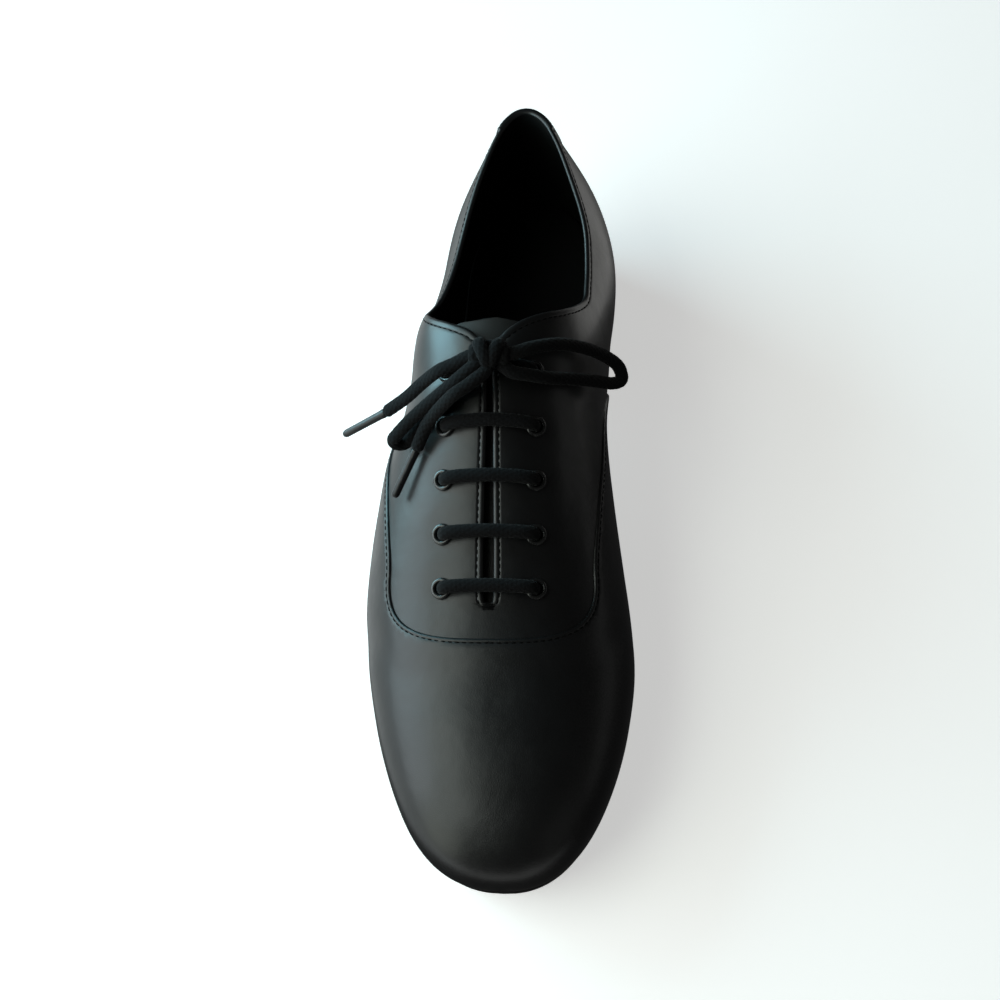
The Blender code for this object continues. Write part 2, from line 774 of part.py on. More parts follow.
def main():
    for obj in list(bpy.data.objects):
        bpy.data.objects.remove(obj, do_unlink=True)
    scene = bpy.context.scene
    shoe = bpy.data.collections.new("ballroom_dance_shoe")
    cutters = bpy.data.collections.new("cutters")
    cutters.hide_render = True
    scene.collection.children.link(shoe)
    scene.collection.children.link(cutters)
    materials = {
        "leather": material("black_leather", (0.012, 0.012, 0.013), 0.35),
        "tongue": material("tongue_leather", (0.02, 0.02, 0.02), 0.45),
        "sole": material("sole_leather", (0.05, 0.045, 0.04), 0.6),
        "heel": material("stacked_heel", (0.02, 0.02, 0.02), 0.4),
        "rubber": material("top_piece_rubber", (0.03, 0.03, 0.03), 0.8),
        "insole": material("insole_leather", (0.03, 0.03, 0.03), 0.7),
        "metal": material("black_eyelet_paint", (0.02, 0.02, 0.02), 0.3),
        "lace": material("black_lace", (0.015, 0.015, 0.015), 0.8),
        "aglet": material("aglet_plastic", (0.06, 0.06, 0.06), 0.4),
    }
    upper = build_upper(shoe, materials["leather"])
    build_bottom(shoe, materials)
    build_tongue(shoe, materials["tongue"])
    build_lacing(shoe, materials)
    build_bow(shoe, materials)
    cut_eyelet_holes(upper, cutters)


main()
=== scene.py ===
"""The looks of a right-foot ballroom dance shoe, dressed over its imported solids.

Sizes are in millimetres; MM turns them into metres. +Z is up, the toe points to -Y and the inner
(medial) side of the foot is at +X. A station is a share of the shoe's length, 0 at the heel's back and
1 at the toe's tip. Across is a distance over the upper from the lacing's centre line, positive to the
medial side.
"""

import functools
import math

import bmesh
import bpy
import numpy as np
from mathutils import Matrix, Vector, kdtree
from mathutils.bvhtree import BVHTree


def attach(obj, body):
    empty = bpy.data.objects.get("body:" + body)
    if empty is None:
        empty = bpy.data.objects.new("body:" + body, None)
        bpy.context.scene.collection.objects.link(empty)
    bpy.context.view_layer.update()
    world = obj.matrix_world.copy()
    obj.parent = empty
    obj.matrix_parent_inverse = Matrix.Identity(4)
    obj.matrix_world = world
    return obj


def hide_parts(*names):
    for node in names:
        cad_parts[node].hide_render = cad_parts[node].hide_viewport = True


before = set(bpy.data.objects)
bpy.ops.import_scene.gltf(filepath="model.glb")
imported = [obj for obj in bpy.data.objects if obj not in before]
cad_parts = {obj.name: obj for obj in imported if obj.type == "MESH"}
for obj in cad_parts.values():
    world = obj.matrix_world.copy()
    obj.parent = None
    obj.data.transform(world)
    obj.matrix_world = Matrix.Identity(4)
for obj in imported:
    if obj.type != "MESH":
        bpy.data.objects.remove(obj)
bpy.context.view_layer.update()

MM = 0.001
MEDIAL = 1
LATERAL = -1

LENGTH = 288.5
WALL = 2.0
GAP = 0.3
AXIS_X = 4.4
BACK_HEIGHT = 87.0

# Rounding of the plan at both ends and of the toe's profile, as superellipses.
HEEL_ROUND_TO = 0.2
HEEL_POWER_SOLE = 2.8
HEEL_POWER = 2.15
HEEL_POWER_TOP = 1.95
TOE_ROUND_FROM = 0.72
TOE_POWER = 2.3
TOE_TOP_POWER = 2.6

# How far the back and the toe draw in, under and over the widest line.
HEEL_TUCK = 2.5
BACK_LEAN = 3.5
BACK_LEAN_POWER = 1.6
TOE_TUCK = 3.0

# Handles of the section curve under the widest line, as shares of its width and height.
UNDER_OUT = 0.75
UNDER_UP = 0.25
UNDER_SIDE = 0.45

# axis: sideways place of the piece's centre from AXIS_X. wide: half-widths at the widest line.
# sole: half-widths at the feather edge, where the upper meets the sole.
OUTLINE_COLUMNS = ("station", "axis", "wide_medial", "wide_lateral", "sole_medial", "sole_lateral")
OUTLINE = (
    (0.00, 2.1, 32.5, 31.5, 28.0, 27.5),
    (0.10, 2.3, 33.0, 32.0, 29.0, 28.5),
    (0.20, 2.5, 33.7, 33.0, 29.0, 29.0),
    (0.30, 0.5, 34.0, 35.8, 26.5, 30.0),
    (0.40, 0.0, 33.0, 40.3, 25.0, 34.0),
    (0.50, 0.0, 36.2, 49.0, 28.5, 42.5),
    (0.60, 0.0, 40.3, 52.5, 34.5, 47.5),
    (0.66, 0.0, 42.8, 52.7, 37.8, 48.0),
    (0.72, 0.0, 44.4, 50.8, 39.7, 46.3),
    (0.80, 0.0, 43.6, 47.6, 39.2, 43.3),
    (0.90, 0.0, 42.4, 44.9, 38.1, 40.7),
    (1.00, 0.0, 42.6, 45.3, 38.4, 41.3),
)

# sole_top: the outsole's upper side. bulge: rise of the widest line over it. ridge: height of the
# last's top line, ridge_x: its sideways place from the axis, cone: half-width of the top at the back.
PROFILE_COLUMNS = ("station", "sole_top", "bulge", "ridge", "ridge_x", "cone", "top_angle")
PROFILE = (
    (0.00, 27.0, 19.0, 102.0, 0.0, 14.0, 68.0),
    (0.10, 26.2, 19.0, 102.0, 0.0, 12.5, 66.0),
    (0.20, 24.6, 20.0, 102.0, 0.0, 13.0, 58.0),
    (0.30, 20.3, 22.0, 101.5, -2.0, 10.0, 33.0),
    (0.36, 16.4, 23.5, 98.5, -4.6, 3.0, 8.0),
    (0.40, 13.8, 24.0, 94.3, -5.2, 0.0, 0.0),
    (0.50, 8.0, 24.0, 82.3, -5.2, 0.0, 0.0),
    (0.58, 4.6, 23.0, 72.7, -5.2, 0.0, 0.0),
    (0.63, 4.0, 22.0, 66.8, -5.1, 0.0, 0.0),
    (0.70, 4.0, 20.5, 59.8, -4.8, 0.0, 0.0),
    (0.80, 5.2, 18.0, 52.8, -3.2, 0.0, 0.0),
    (0.90, 8.0, 14.5, 49.0, -1.2, 0.0, 0.0),
    (1.00, 12.0, 9.0, 47.0, 0.0, 0.0, 0.0),
)

# Pull of the section curve at the side and over the top: 0.55 makes a quarter ellipse.
SHAPE_COLUMNS = ("station", "side_pull", "top_pull")
SHAPE = (
    (0.00, 0.40, 0.42),
    (0.20, 0.44, 0.52),
    (0.30, 0.55, 0.70),
    (0.36, 0.58, 0.72),
    (0.45, 0.48, 0.60),
    (0.60, 0.50, 0.58),
    (0.75, 0.54, 0.58),
    (0.90, 0.60, 0.62),
    (1.00, 0.60, 0.62),
)

# How far the lateral side leans out at the collar's height, under 0 inward.
FLARE_COLUMNS = ("station", "flare")
FLARE = (
    (0.000, 0.0),
    (0.080, 0.0),
    (0.100, 0.0),
    (0.200, -1.2),
    (0.285, -2.4),
    (0.335, 3.6),
    (0.370, 2.8),
    (0.430, 0.3),
    (0.460, 0.0),
    (0.480, 0.0),
    (0.500, 0.0),
    (1.000, 0.0),
)
FLARE_POWER = 2

# Height of the collar's edge on each side.
TOPLINE_COLUMNS = ("station", "top_medial", "top_lateral")
TOPLINE = (
    (0.000, 87.0, 87.0),
    (0.030, 86.2, 86.0),
    (0.080, 83.0, 82.3),
    (0.150, 78.5, 77.0),
    (0.220, 75.5, 73.5),
    (0.270, 75.5, 73.8),
    (0.300, 77.0, 75.5),
    (0.325, 82.7, 80.2),
    (0.343, 87.9, 85.6),
    (0.362, 93.1, 90.5),
    (0.375, 94.9, 93.4),
    (0.388, 95.0, 94.8),
    (0.400, 94.2, 94.2),
    (0.412, 93.2, 93.2),
)

# Lacing: the gap between the facings, and the eyelets.
FACING_TOP = 0.412
THROAT_BASE = 0.694
THROAT_GAP_TOP = 0.7
THROAT_GAP_BASE = 2.1
THROAT_END_POWER = 9.0
FACING_TURN = 0.06
EYELET_PAIRS = 5
EYELET_FIRST = 0.677
EYELET_LAST = 0.431
EYELET_STATIONS = np.linspace(EYELET_FIRST, EYELET_LAST, EYELET_PAIRS)
EYELET_ACROSS = 16.5
EYELET_BORE = 2.1
EYELET_BARREL = 2.55
EYELET_FLANGE = 3.8
EYELET_RISE = 1.15
EYELET_CLINCH = 0.2

# Bow: knot, aglets and routes. A route's row is a place (x, y, z) of the lace's centre line.
KNOT_STATION = 0.425
KNOT_ACROSS = 1.6
KNOT_LIFT = 9.7
KNOT_HALF = (7.0, 4.6, 3.7)
AGLET_RADIUS = 1.5
AGLET_FLAT = 0.85
AGLET_SHAPE = (
    # share of the length, girth
    (0.0, 1.1),
    (0.03, 1.15),
    (0.1, 1.05),
    (0.5, 1.0),
    (0.92, 0.98),
    (0.97, 0.85),
    (1.0, 0.55),
)
BOW_UP = (0.0, -0.25, 0.97)
ROUTES = {
    "lace_loop_lateral": (
        (-5.6, 13.9, 99.1),
        (-11.1, 10.7, 96.0),
        (-16.6, 8.5, 91.6),
        (-22.4, 6.3, 86.9),
        (-27.1, 4.3, 82.9),
        (-31.0, 2.2, 79.6),
        (-34.0, 0.6, 76.5),
        (-35.3, -0.1, 74.8),
        (-35.1, -0.3, 72.5),
        (-33.4, 0.1, 71.0),
        (-31.3, 0.9, 71.1),
        (-28.6, 2.6, 74.0),
        (-25.7, 5.3, 77.3),
        (-21.1, 8.7, 82.2),
        (-16.2, 10.6, 86.9),
        (-11.2, 10.8, 90.6),
        (-5.4, 11.5, 94.7),
    ),
    "lace_loop_medial": (
        (7.2, 18.2, 100.2),
        (14.5, 21.8, 98.6),
        (23.0, 26.6, 93.5),
        (31.0, 30.8, 85.0),
        (38.0, 33.5, 76.0),
        (42.8, 33.4, 69.4),
        (44.0, 29.8, 66.4),
        (40.8, 26.6, 68.6),
        (34.4, 23.2, 75.4),
        (27.0, 19.4, 82.6),
        (19.8, 15.2, 89.8),
        (12.6, 13.6, 94.3),
        (7.4, 13.4, 96.6),
    ),
    "lace_end_outer": (
        (-6.9, 18.2, 99.1),
        (-12.5, 16.9, 96.4),
        (-18.2, 16.0, 93.5),
        (-24.6, 15.9, 86.3),
        (-31.5, 14.8, 78.4),
        (-39.9, 13.8, 70.5),
    ),
    "lace_end_inner": (
        (-1.0, 12.4, 99.1),
        (-7.0, 7.5, 97.5),
        (-12.2, 4.9, 95.3),
        (-18.0, 3.3, 88.5),
        (-22.8, 1.2, 81.8),
        (-27.0, -4.2, 74.5),
    ),
}
AGLETS = {
    "aglet_outer": ((-40.2, 13.7, 70.3), (-56.5, 10.6, 60.4)),
    "aglet_inner": ((-27.2, -4.5, 74.2), (-35.2, -17.5, 64.3)),
}

# Vamp seam: a rounded U round the facings, seen in the plane of the upper.
SEAM_FRONT = 0.737
SEAM_ROUND = 27.0
SEAM_HALF = 39.0
SEAM_POWER = 2.5
SEAM_SPREAD = 0.33
SEAM_EASE = 12.0
SEAM_DROP = 0.004
SEAM_DROP_FROM = 50.0
SEAM_STEP = 0.9
SEAM_BLEND = 14.0
SEAM_FOOT = 12.0
SEAM_BACK = 0.3
SEAM_ROW_END = SEAM_FOOT / 4
SEAM_LEAST_SLOPE = 0.2

# Heel tab: the short strip over the back seam.
TAB_HALF = 16.0
TAB_DROP = 34.0
TAB_STEP = 0.8
TAB_RAMP = 0.6
TAB_SIDE_POWER = 2
TAB_FOOT_POWER = 4

# Bottom.
SOLE_THICKNESS = 4.0
SOLE_EDGE = 0.8
SOLE_BEVEL = 1.0
HEEL_BREAST = 0.255
HEEL_TAPER = 2.5
TOP_PIECE = 5.0
INSOLE_THICKNESS = 2.5
INSOLE_INSET = 2.6
SOLE_ROUND = 0.9
SOLE_FACING = -0.85
HEEL_LIFTS = 4
LIFT_HIGH = 3.4
LIFT_GROOVE = 0.16
TOP_PIECE_ROUND = 0.6
INSOLE_ROUND = 0.9

# Tongue.
TONGUE_TOP = 0.372
TONGUE_FRONT = 0.735
TONGUE_THICKNESS = 1.8
TONGUE_HALF_TOP = 29.0
TONGUE_HALF_FRONT = 17.0
TONGUE_CLEAR = 2.6
TONGUE_ROUND = 0.085
TONGUE_TIP = 0.01
TONGUE_ROUND_POWER = 3.0
TONGUE_SEAT_FROM = 0.80
TONGUE_SEAT_TO = 0.96
TONGUE_EDGE = 0.35
TONGUE_STITCH = 2.2

# Finish of the leather: rounded edges, stitched grooves and dimples round the eyelets.
RIM = WALL / 2
RIM_STEPS = 6
EDGE_ROUND = 0.6
EDGE_FOOT = 0.2
GROOVE_HALF = 0.45
GROOVE_DEPTH = 0.22
SEAM_STITCH = 1.5
RIM_STITCH = 2.1
TAB_STITCH = 1.6
DIMPLE_DEPTH = 0.35
DIMPLE_BREADTH = 5.5

# Creases: a line over the upper between two places, its depth and its half-breadth. They fade along
# a part of half a sine wave.
CREASE_START = 0.15
CREASE_SPAN = 0.7
CREASES = (
    # from station, across, to station, across, depth, breadth
    (0.772, -34.0, 0.768, 26.0, 0.30, 4.0),
    (0.800, -26.0, 0.806, 12.0, 0.16, 4.5),
    (0.720, -44.0, 0.690, -62.0, 0.35, 5.0),
    (0.728, 42.0, 0.690, 60.0, 0.40, 5.0),
    (0.640, 30.0, 0.480, 33.0, 0.35, 5.5),
    (0.600, -34.0, 0.480, -38.0, 0.22, 6.0),
    (0.440, -30.0, 0.385, -48.0, 0.45, 6.0),
    (0.440, 32.0, 0.380, 50.0, 0.45, 6.0),
    (0.300, 66.0, 0.240, 84.0, 0.45, 7.0),
    (0.300, -66.0, 0.240, -84.0, 0.45, 7.0),
)

# Thread of the seams; a stitch's shape is its girth at shares of its length.
STITCH_PITCH = 2.5
STITCH_LENGTH = 1.8
STITCH_RADIUS = 0.22
STITCH_SIDES = 6
STITCH_DIP = 1.5
STITCH_SHAPE = ((0.0, 0.45), (0.18, 0.95), (0.5, 1.0), (0.82, 0.95), (1.0, 0.45))
TACK_THREADS = 5
TACK_LENGTH = 5.0
TACK_BACK = 2.2

# Lace: an oval braid, thinner where it goes down through an eyelet.
LACE_WIDE = 2.25
LACE_THICK = 1.75
LACE_IN_BORE = 0.85
LACE_SIDES = 32
LACE_STEP = 0.36
BRAID_STRANDS = 8
BRAID_PITCH = 2.9
BRAID_DEPTH = 0.075
BAR_DIP = 2.9
LACE_END = 0.25

# How finely the dressed surfaces are drawn.
UNDER_STEPS = 60
SECTION_STEPS = 240
HEEL_SECTIONS = 34
MIDDLE_SECTIONS = 150
TOE_SECTIONS = 46
THROAT_SECTIONS = 10
THROAT_FINE = 0.02
THROAT_POINTS = 24
LINE_POINTS = 40
LINE_STEP = 1.0
STATION_APART = 0.0003
WALL_COLUMNS = 46
NORMAL_STEP = 0.5
MERGE = 2e-6
SNAP = 0.04
TINY = 1e-6
SHARP_ANGLE = 45
TONGUE_RINGS = 60
TONGUE_POINTS = 64
TONGUE_ROW_POINTS = 240
EYELET_ROLL = 9
EYELET_SIDES = 36
EDGE_TURNS = (0, 30, 60, 90)
CURVE_STEPS = 24

# Knot bands: tilt in degrees, shift to the lateral side, sink under the centre, share of the knot's size.
KNOT_BANDS = ((-26.0, 1.9, 0.0, 1.0), (24.0, -1.9, 0.3, 0.98), (4.0, 0.0, 2.6, 0.9))
KNOT_ROOT = 0.35
KNOT_CORE = 0.8
KNOT_STEPS = 72

# A bar's height over the facing, from inside the eyelet (share of the eyelets' distance) to the middle.
BAR_SHAPE = ((1.0, -2.9), (1.0, -1.0), (0.985, 0.8), (0.9, 2.5), (0.76, 3.05), (0.5, 2.9), (0.0, 2.7))

# Leathers: name, dark and light tone, roughness, depth of the grain, coat and gloss.
LEATHERS = {
    "leather": ("black_calf", (0.002, 0.002, 0.0022), (0.005, 0.005, 0.0054), 0.40, 0.10, 0.12, 0.5),
    "tongue": ("tongue_calf", (0.006, 0.006, 0.006), (0.013, 0.013, 0.012), 0.50, 0.14, 0.06, 0.35),
    "lining": ("lining_kid", (0.003, 0.003, 0.003), (0.006, 0.006, 0.006), 0.75, 0.08, 0.0, 0.15),
    "insole": ("sock_kid", (0.003, 0.003, 0.003), (0.007, 0.007, 0.007), 0.75, 0.08, 0.0, 0.15),
    "heel": ("stacked_heel", (0.006, 0.006, 0.006), (0.012, 0.011, 0.011), 0.38, 0.06, 0.12, 0.5),
    "edge": ("sole_edge", (0.004, 0.004, 0.004), (0.009, 0.008, 0.008), 0.45, 0.06, 0.12, 0.5),
}
COAT_ROUGHNESS = 0.22
ROUGHNESS_SWAY = 0.06

# Yarns: name, dark and light tone, roughness and sheen.
YARNS = {
    "lace": ("lace_braid", (0.002, 0.002, 0.0025), (0.009, 0.009, 0.0095), 0.85, 0.06),
    "thread": ("seam_thread", (0.001, 0.001, 0.001), (0.004, 0.004, 0.004), 0.9, 0.0),
}
SHEEN_ROUGHNESS = 0.45
YARN_GLOSS = 0.1

# Plain finishes: name, colour, roughness, cells of its noise, least and most roughness, bump strength.
FINISHES = {
    "rubber": ("heel_cap_rubber", (0.02, 0.02, 0.02), 0.75, 700.0, 0.65, 0.85, 0.3),
    "paint": ("eyelet_paint", (0.012, 0.012, 0.012), 0.25, 500.0, 0.18, 0.34, 0.0),
    "film": ("aglet_film", (0.008, 0.008, 0.009), 0.3, 700.0, 0.22, 0.38, 0.3),
}
FINISH_SOCKETS = {
    "rubber": {"specular_ior_level": 0.4},
    "paint": {"coat_weight": 0.3, "coat_roughness": 0.1},
    "film": {"specular_ior_level": 0.35},
}

# Suede of the sole.
SUEDE = (0.035, 0.03, 0.027)
SUEDE_DARK = (0.02, 0.018, 0.016)
SUEDE_LIGHT = (0.045, 0.04, 0.036)
SUEDE_SOCKETS = {"sheen_weight": 0.3, "specular_ior_level": 0.2}
SUEDE_ROUGHNESS = 0.9

# Patterns: cells in a metre, strength of the bump and its height in millimetres. Pores have a share
# of the grain's strength.
PEBBLE_CELLS = 1500.0
PEBBLE_HIGH = 0.4
PORE_CELLS = 3200.0
PORE_SHARE = 0.6
UNEVEN_CELLS = 90.0
UNEVEN_STRENGTH = 0.25
UNEVEN_HIGH = 1.2
CLOUD_CELLS = 28.0
FIBRE_CELLS = 2600.0
FIBRE_STRENGTH = 0.6
NAP_CELLS = 900.0
NAP_STRENGTH = 0.5
NAP_HIGH = 0.5
FINE_HIGH = 0.3

# Stage, light and camera.
FLOOR_SWEEP = (
    # distance from the middle, height
    (1500.0, 0.0),
    (2000.0, 40.0),
    (2400.0, 170.0),
    (2700.0, 420.0),
    (2850.0, 800.0),
    (2900.0, 2600.0),
)
FLOOR_SIDES = 96
FLOOR_COLOUR = (0.9, 0.9, 0.89)
FLOOR_GLOW = 0.6
FLOOR_ROUGHNESS = 0.9
FLOOR_GLOSS = 0.1
WORLD_COLOUR = (1.0, 1.0, 1.0)
WORLD_STRENGTH = 0.035

# Soft lights: place, what they face, size, brightness and colour.
LIGHTS = (
    ("window_front", (-740.0, -120.0, 340.0), (0.0, -60.0, 50.0), (450.0, 560.0), 3.2, (0.86, 0.96, 1.0)),
    ("window_back", (-740.0, 360.0, 320.0), (0.0, 60.0, 50.0), (510.0, 600.0), 6.4, (0.60, 0.92, 1.0)),
    ("window_toe", (-613.0, -514.0, 300.0), (0.0, -60.0, 50.0), (400.0, 560.0), 2.0, (0.92, 1.0, 0.88)),
    ("window_high", (-490.0, -225.0, 770.0), (0.0, -60.0, 50.0), (760.0, 420.0), 2.5, (0.92, 1.0, 0.92)),
    ("blue_card", (-108.0, 38.0, 134.0), (-17.0, 29.0, 90.0), (44.0, 72.0), 7.0, (0.32, 0.83, 1.0)),
    ("left_card", (-262.0, 40.0, 3.0), (-262.0, 40.0, 100.0), (400.0, 660.0), 0.9, (0.92, 1.0, 1.0)),
    ("front_card", (-70.0, -310.0, 3.0), (-70.0, -310.0, 100.0), (420.0, 240.0), 0.7, (0.98, 1.0, 0.98)),
    ("right_card", (212.0, 298.0, 3.0), (212.0, 298.0, 100.0), (276.0, 364.0), 0.85, (1.0, 1.0, 0.97)),
    ("side_fill", (760.0, 60.0, 120.0), (0.0, 0.0, 45.0), (640.0, 240.0), 0.22, (0.98, 1.0, 0.98)),
    ("fill", (648.0, -544.0, 358.0), (0.0, 0.0, 50.0), (500.0, 500.0), 0.12, (0.96, 1.0, 0.96)),
)
SENSOR = 36.0
FOCAL_PX = 1630.0
IMAGE_PX = 1000.0
CAMERA_PLACE = (59.0, -295.3, 558.3)
PHOTO_TARGET = (59.0, -19.75, 40.0)
SHOE_TARGET = (0.0, -8.0, 45.0)


def through(stations, values):
    """A smooth function through a table's values."""
    x = np.array(stations, float)
    y = np.array(values, float)
    slope = np.gradient(y, x)

    def at(s):
        i = int(np.clip(np.searchsorted(x, s) - 1, 0, len(x) - 2))
        h = x[i + 1] - x[i]
        u = (s - x[i]) / h
        start = (1 + 2 * u) * (1 - u) ** 2 * y[i] + u * (1 - u) ** 2 * h * slope[i]
        end = u * u * (3 - 2 * u) * y[i + 1] + u * u * (u - 1) * h * slope[i + 1]
        return float(start + end)

    return at


def table(columns, rows):
    stations = [row[0] for row in rows]
    return {name: through(stations, [row[i] for row in rows]) for i, name in enumerate(columns)}


LAST = {
    **table(OUTLINE_COLUMNS, OUTLINE),
    **table(PROFILE_COLUMNS, PROFILE),
    **table(SHAPE_COLUMNS, SHAPE),
    **table(FLARE_COLUMNS, FLARE),
    **table(TOPLINE_COLUMNS, TOPLINE),
}


def limited(share):
    return min(max(share, 0.0), 1.0)


def blend(share):
    share = limited(share)
    return share * share * (3 - 2 * share)


def toe_share(s):
    return max(0.0, (s - TOE_ROUND_FROM) / (1 - TOE_ROUND_FROM))


def heel_share(s):
    return max(0.0, (HEEL_ROUND_TO - s) / HEEL_ROUND_TO)


def superellipse(share, power):
    return max(0.0, 1 - min(share, 1.0) ** power) ** (1 / power)


def rounding(s, heel_power):
    """1 along the shoe, falling to 0 at the heel's back and at the toe's tip."""
    return superellipse(toe_share(s), TOE_POWER) * superellipse(heel_share(s), heel_power)


def along(s):
    return (0.5 - s) * LENGTH


def axis(s):
    return AXIS_X + LAST["axis"](s)


def of_side(name, side, s):
    """A value of the tables that has a column for each side."""
    return LAST[name + ("_medial" if side == MEDIAL else "_lateral")](s)


def bezier(points, steps):
    t = np.linspace(0, 1, steps + 1)[:, None]
    a, b, c, d = (np.array(p, float) for p in points)
    return (1 - t) ** 3 * a + 3 * t * (1 - t) ** 2 * b + 3 * t * t * (1 - t) * c + t**3 * d


def section(s, side):
    """The last's half-section at a station, from the feather edge up to the top line."""
    low = LAST["sole_top"](s) + GAP
    wide = low + LAST["bulge"](s)
    top = wide + (LAST["ridge"](s) - wide) * superellipse(toe_share(s), TOE_TOP_POWER)
    feather_x = of_side("sole", side, s) * rounding(s, HEEL_POWER_SOLE)
    wide_x = of_side("wide", side, s) * rounding(s, HEEL_POWER)
    top_x = LAST["ridge_x"](s) * side + LAST["cone"](s) * rounding(s, HEEL_POWER_TOP)
    angle = math.radians(LAST["top_angle"](s))
    pull = LAST["top_pull"](s)
    under_x = feather_x + UNDER_OUT * (wide_x - feather_x)
    under_z = low + UNDER_UP * (wide - low)
    over_x = top_x + pull * (wide_x - top_x) * math.cos(angle)
    over_z = top - pull * (top - wide) * math.sin(angle)
    side_high = wide + LAST["side_pull"](s) * (top - wide)
    side_low = wide - UNDER_SIDE * (wide - low)
    under = ((feather_x, low), (under_x, under_z), (wide_x, side_low), (wide_x, wide))
    over = ((wide_x, wide), (wide_x, side_high), (over_x, over_z), (top_x, top))
    flat = np.vstack([bezier(under, UNDER_STEPS), bezier(over, SECTION_STEPS)[1:]])
    below = np.clip((wide - flat[:, 1]) / (wide - low), 0, 1)
    above = np.clip((flat[:, 1] - wide) / (BACK_HEIGHT - wide), 0, None)
    if side == LATERAL:
        flat[:, 0] += LAST["flare"](s) * np.minimum(above, 1.0) ** FLARE_POWER
    y = along(s) - heel_share(s) * (HEEL_TUCK * below**2 + BACK_LEAN * above**BACK_LEAN_POWER)
    y = y + toe_share(s) * TOE_TUCK * below**2
    return np.column_stack([axis(s) + side * flat[:, 0], y, flat[:, 1]])


def lengths(points):
    steps = np.linalg.norm(np.diff(points, axis=0), axis=1)
    return np.concatenate([[0.0], np.cumsum(steps)])


def sample(rows, run, places):
    """A line's rows at places along its run."""
    return np.stack([np.interp(places, run, rows[:, k]) for k in range(3)], axis=-1)


def unit(rows):
    return rows / np.linalg.norm(rows, axis=-1, keepdims=True)


def full_turn(count):
    return np.linspace(0, 2 * math.pi, count, endpoint=False)


def seam_half(back):
    """Half-breadth of the U of the vamp seam at a distance behind its front."""
    past = max(0.0, back - SEAM_ROUND)
    drop = SEAM_DROP * max(0.0, back - SEAM_DROP_FROM) ** 2
    return SEAM_HALF + SEAM_SPREAD * past * past / (past + SEAM_EASE) + drop


def seam_depth(s, across):
    """Over 0 inside the U of the vamp seam, under 0 on the vamp."""
    back = (SEAM_FRONT - s) * LENGTH
    front = max(0.0, (SEAM_ROUND - back) / SEAM_ROUND)
    reach = (front**SEAM_POWER + (abs(across) / seam_half(back)) ** SEAM_POWER) ** (1 / SEAM_POWER)
    return (1 - reach) * SEAM_HALF


def tab_depth(point):
    """Over 0 on the heel tab, under 0 beside it."""
    drop = (BACK_HEIGHT - point[2]) / TAB_DROP
    away = math.hypot(point[0] - axis(0.0), point[1] - along(0.0)) / TAB_HALF
    reach = math.sqrt(max(0.0, drop) ** TAB_FOOT_POWER + away**TAB_SIDE_POWER)
    return (1 - reach) * TAB_HALF


def feather(s, side, grow):
    """A point of the bottom outline, grown outward."""
    x = axis(s) + side * (of_side("sole", side, s) + grow) * rounding(s, HEEL_POWER_SOLE)
    y = along(s) + heel_share(s) * (grow - HEEL_TUCK) - toe_share(s) * (grow - TOE_TUCK)
    return x, y


def slab_ring(s, levels):
    """A section through a bottom piece: levels are (height, growth) rows from low to high."""
    left, right = ([(*feather(s, side, grow), z) for z, grow in levels] for side in (LATERAL, MEDIAL))
    low, high = (tuple((np.array(left[end]) + np.array(right[end])) / 2) for end in (0, -1))
    return [low] + left + [high] + right[::-1]


@functools.lru_cache(maxsize=None)
def half_section(s, side):
    """The last's half-section at a station and the running length along it."""
    points = section(s, side)
    return points, lengths(points)


def throat_half(s, inset):
    """Half the gap between the facings, wider by the inset."""
    share = (s - FACING_TOP) / (THROAT_BASE + inset / LENGTH - FACING_TOP)
    width = THROAT_GAP_TOP + (THROAT_GAP_BASE - THROAT_GAP_TOP) * share + inset
    return width * superellipse(max(0.0, share), THROAT_END_POWER)


def wall_end(s, side, inset):
    """Distance along a section at which the wall stops, short of its rim by the inset."""
    points, run = half_section(s, side)
    end = run[-1]
    if FACING_TOP - FACING_TURN < s < THROAT_BASE + inset / LENGTH:
        away = np.abs(points[:, 0] - axis(s) - LAST["ridge_x"](s))
        end = min(end, float(np.interp(-throat_half(max(s, FACING_TOP), inset), -away, run)))
    if s < FACING_TOP:
        end = min(end, float(np.interp(of_side("top", side, s), points[:, 2], run)) - inset)
    return end


def on_last(s, across):
    """A point of the last's surface, the forward direction and the outward direction there."""
    side = MEDIAL if across >= 0 else LATERAL
    away = abs(across)

    def surface(station, distance):
        points, run = half_section(station, side)
        return sample(points, run, run[-1] - distance)

    step = NORMAL_STEP / LENGTH
    forward = surface(min(s + step, 1.0), away) - surface(max(s - step, 0.0), away)
    sideways = surface(s, away + NORMAL_STEP) - surface(s, max(away - NORMAL_STEP, 0.0))
    return surface(s, away), unit(forward), unit(np.cross(forward, sideways) * side)


def seam_distance(s, across):
    """Distance over the upper to the vamp's edge: over 0 on the quarters, under 0 on the vamp."""
    away = abs(across)
    step = NORMAL_STEP / LENGTH
    forward = (seam_depth(s + step, away) - seam_depth(s - step, away)) / (2 * NORMAL_STEP)
    sideways = (seam_depth(s, away + NORMAL_STEP) - seam_depth(s, away - NORMAL_STEP)) / (2 * NORMAL_STEP)
    return seam_depth(s, away) / max(math.hypot(forward, sideways), SEAM_LEAST_SLOPE)


def heel_stations(count):
    return HEEL_ROUND_TO * (1 - np.cos(np.radians(np.linspace(0, 90, count))))


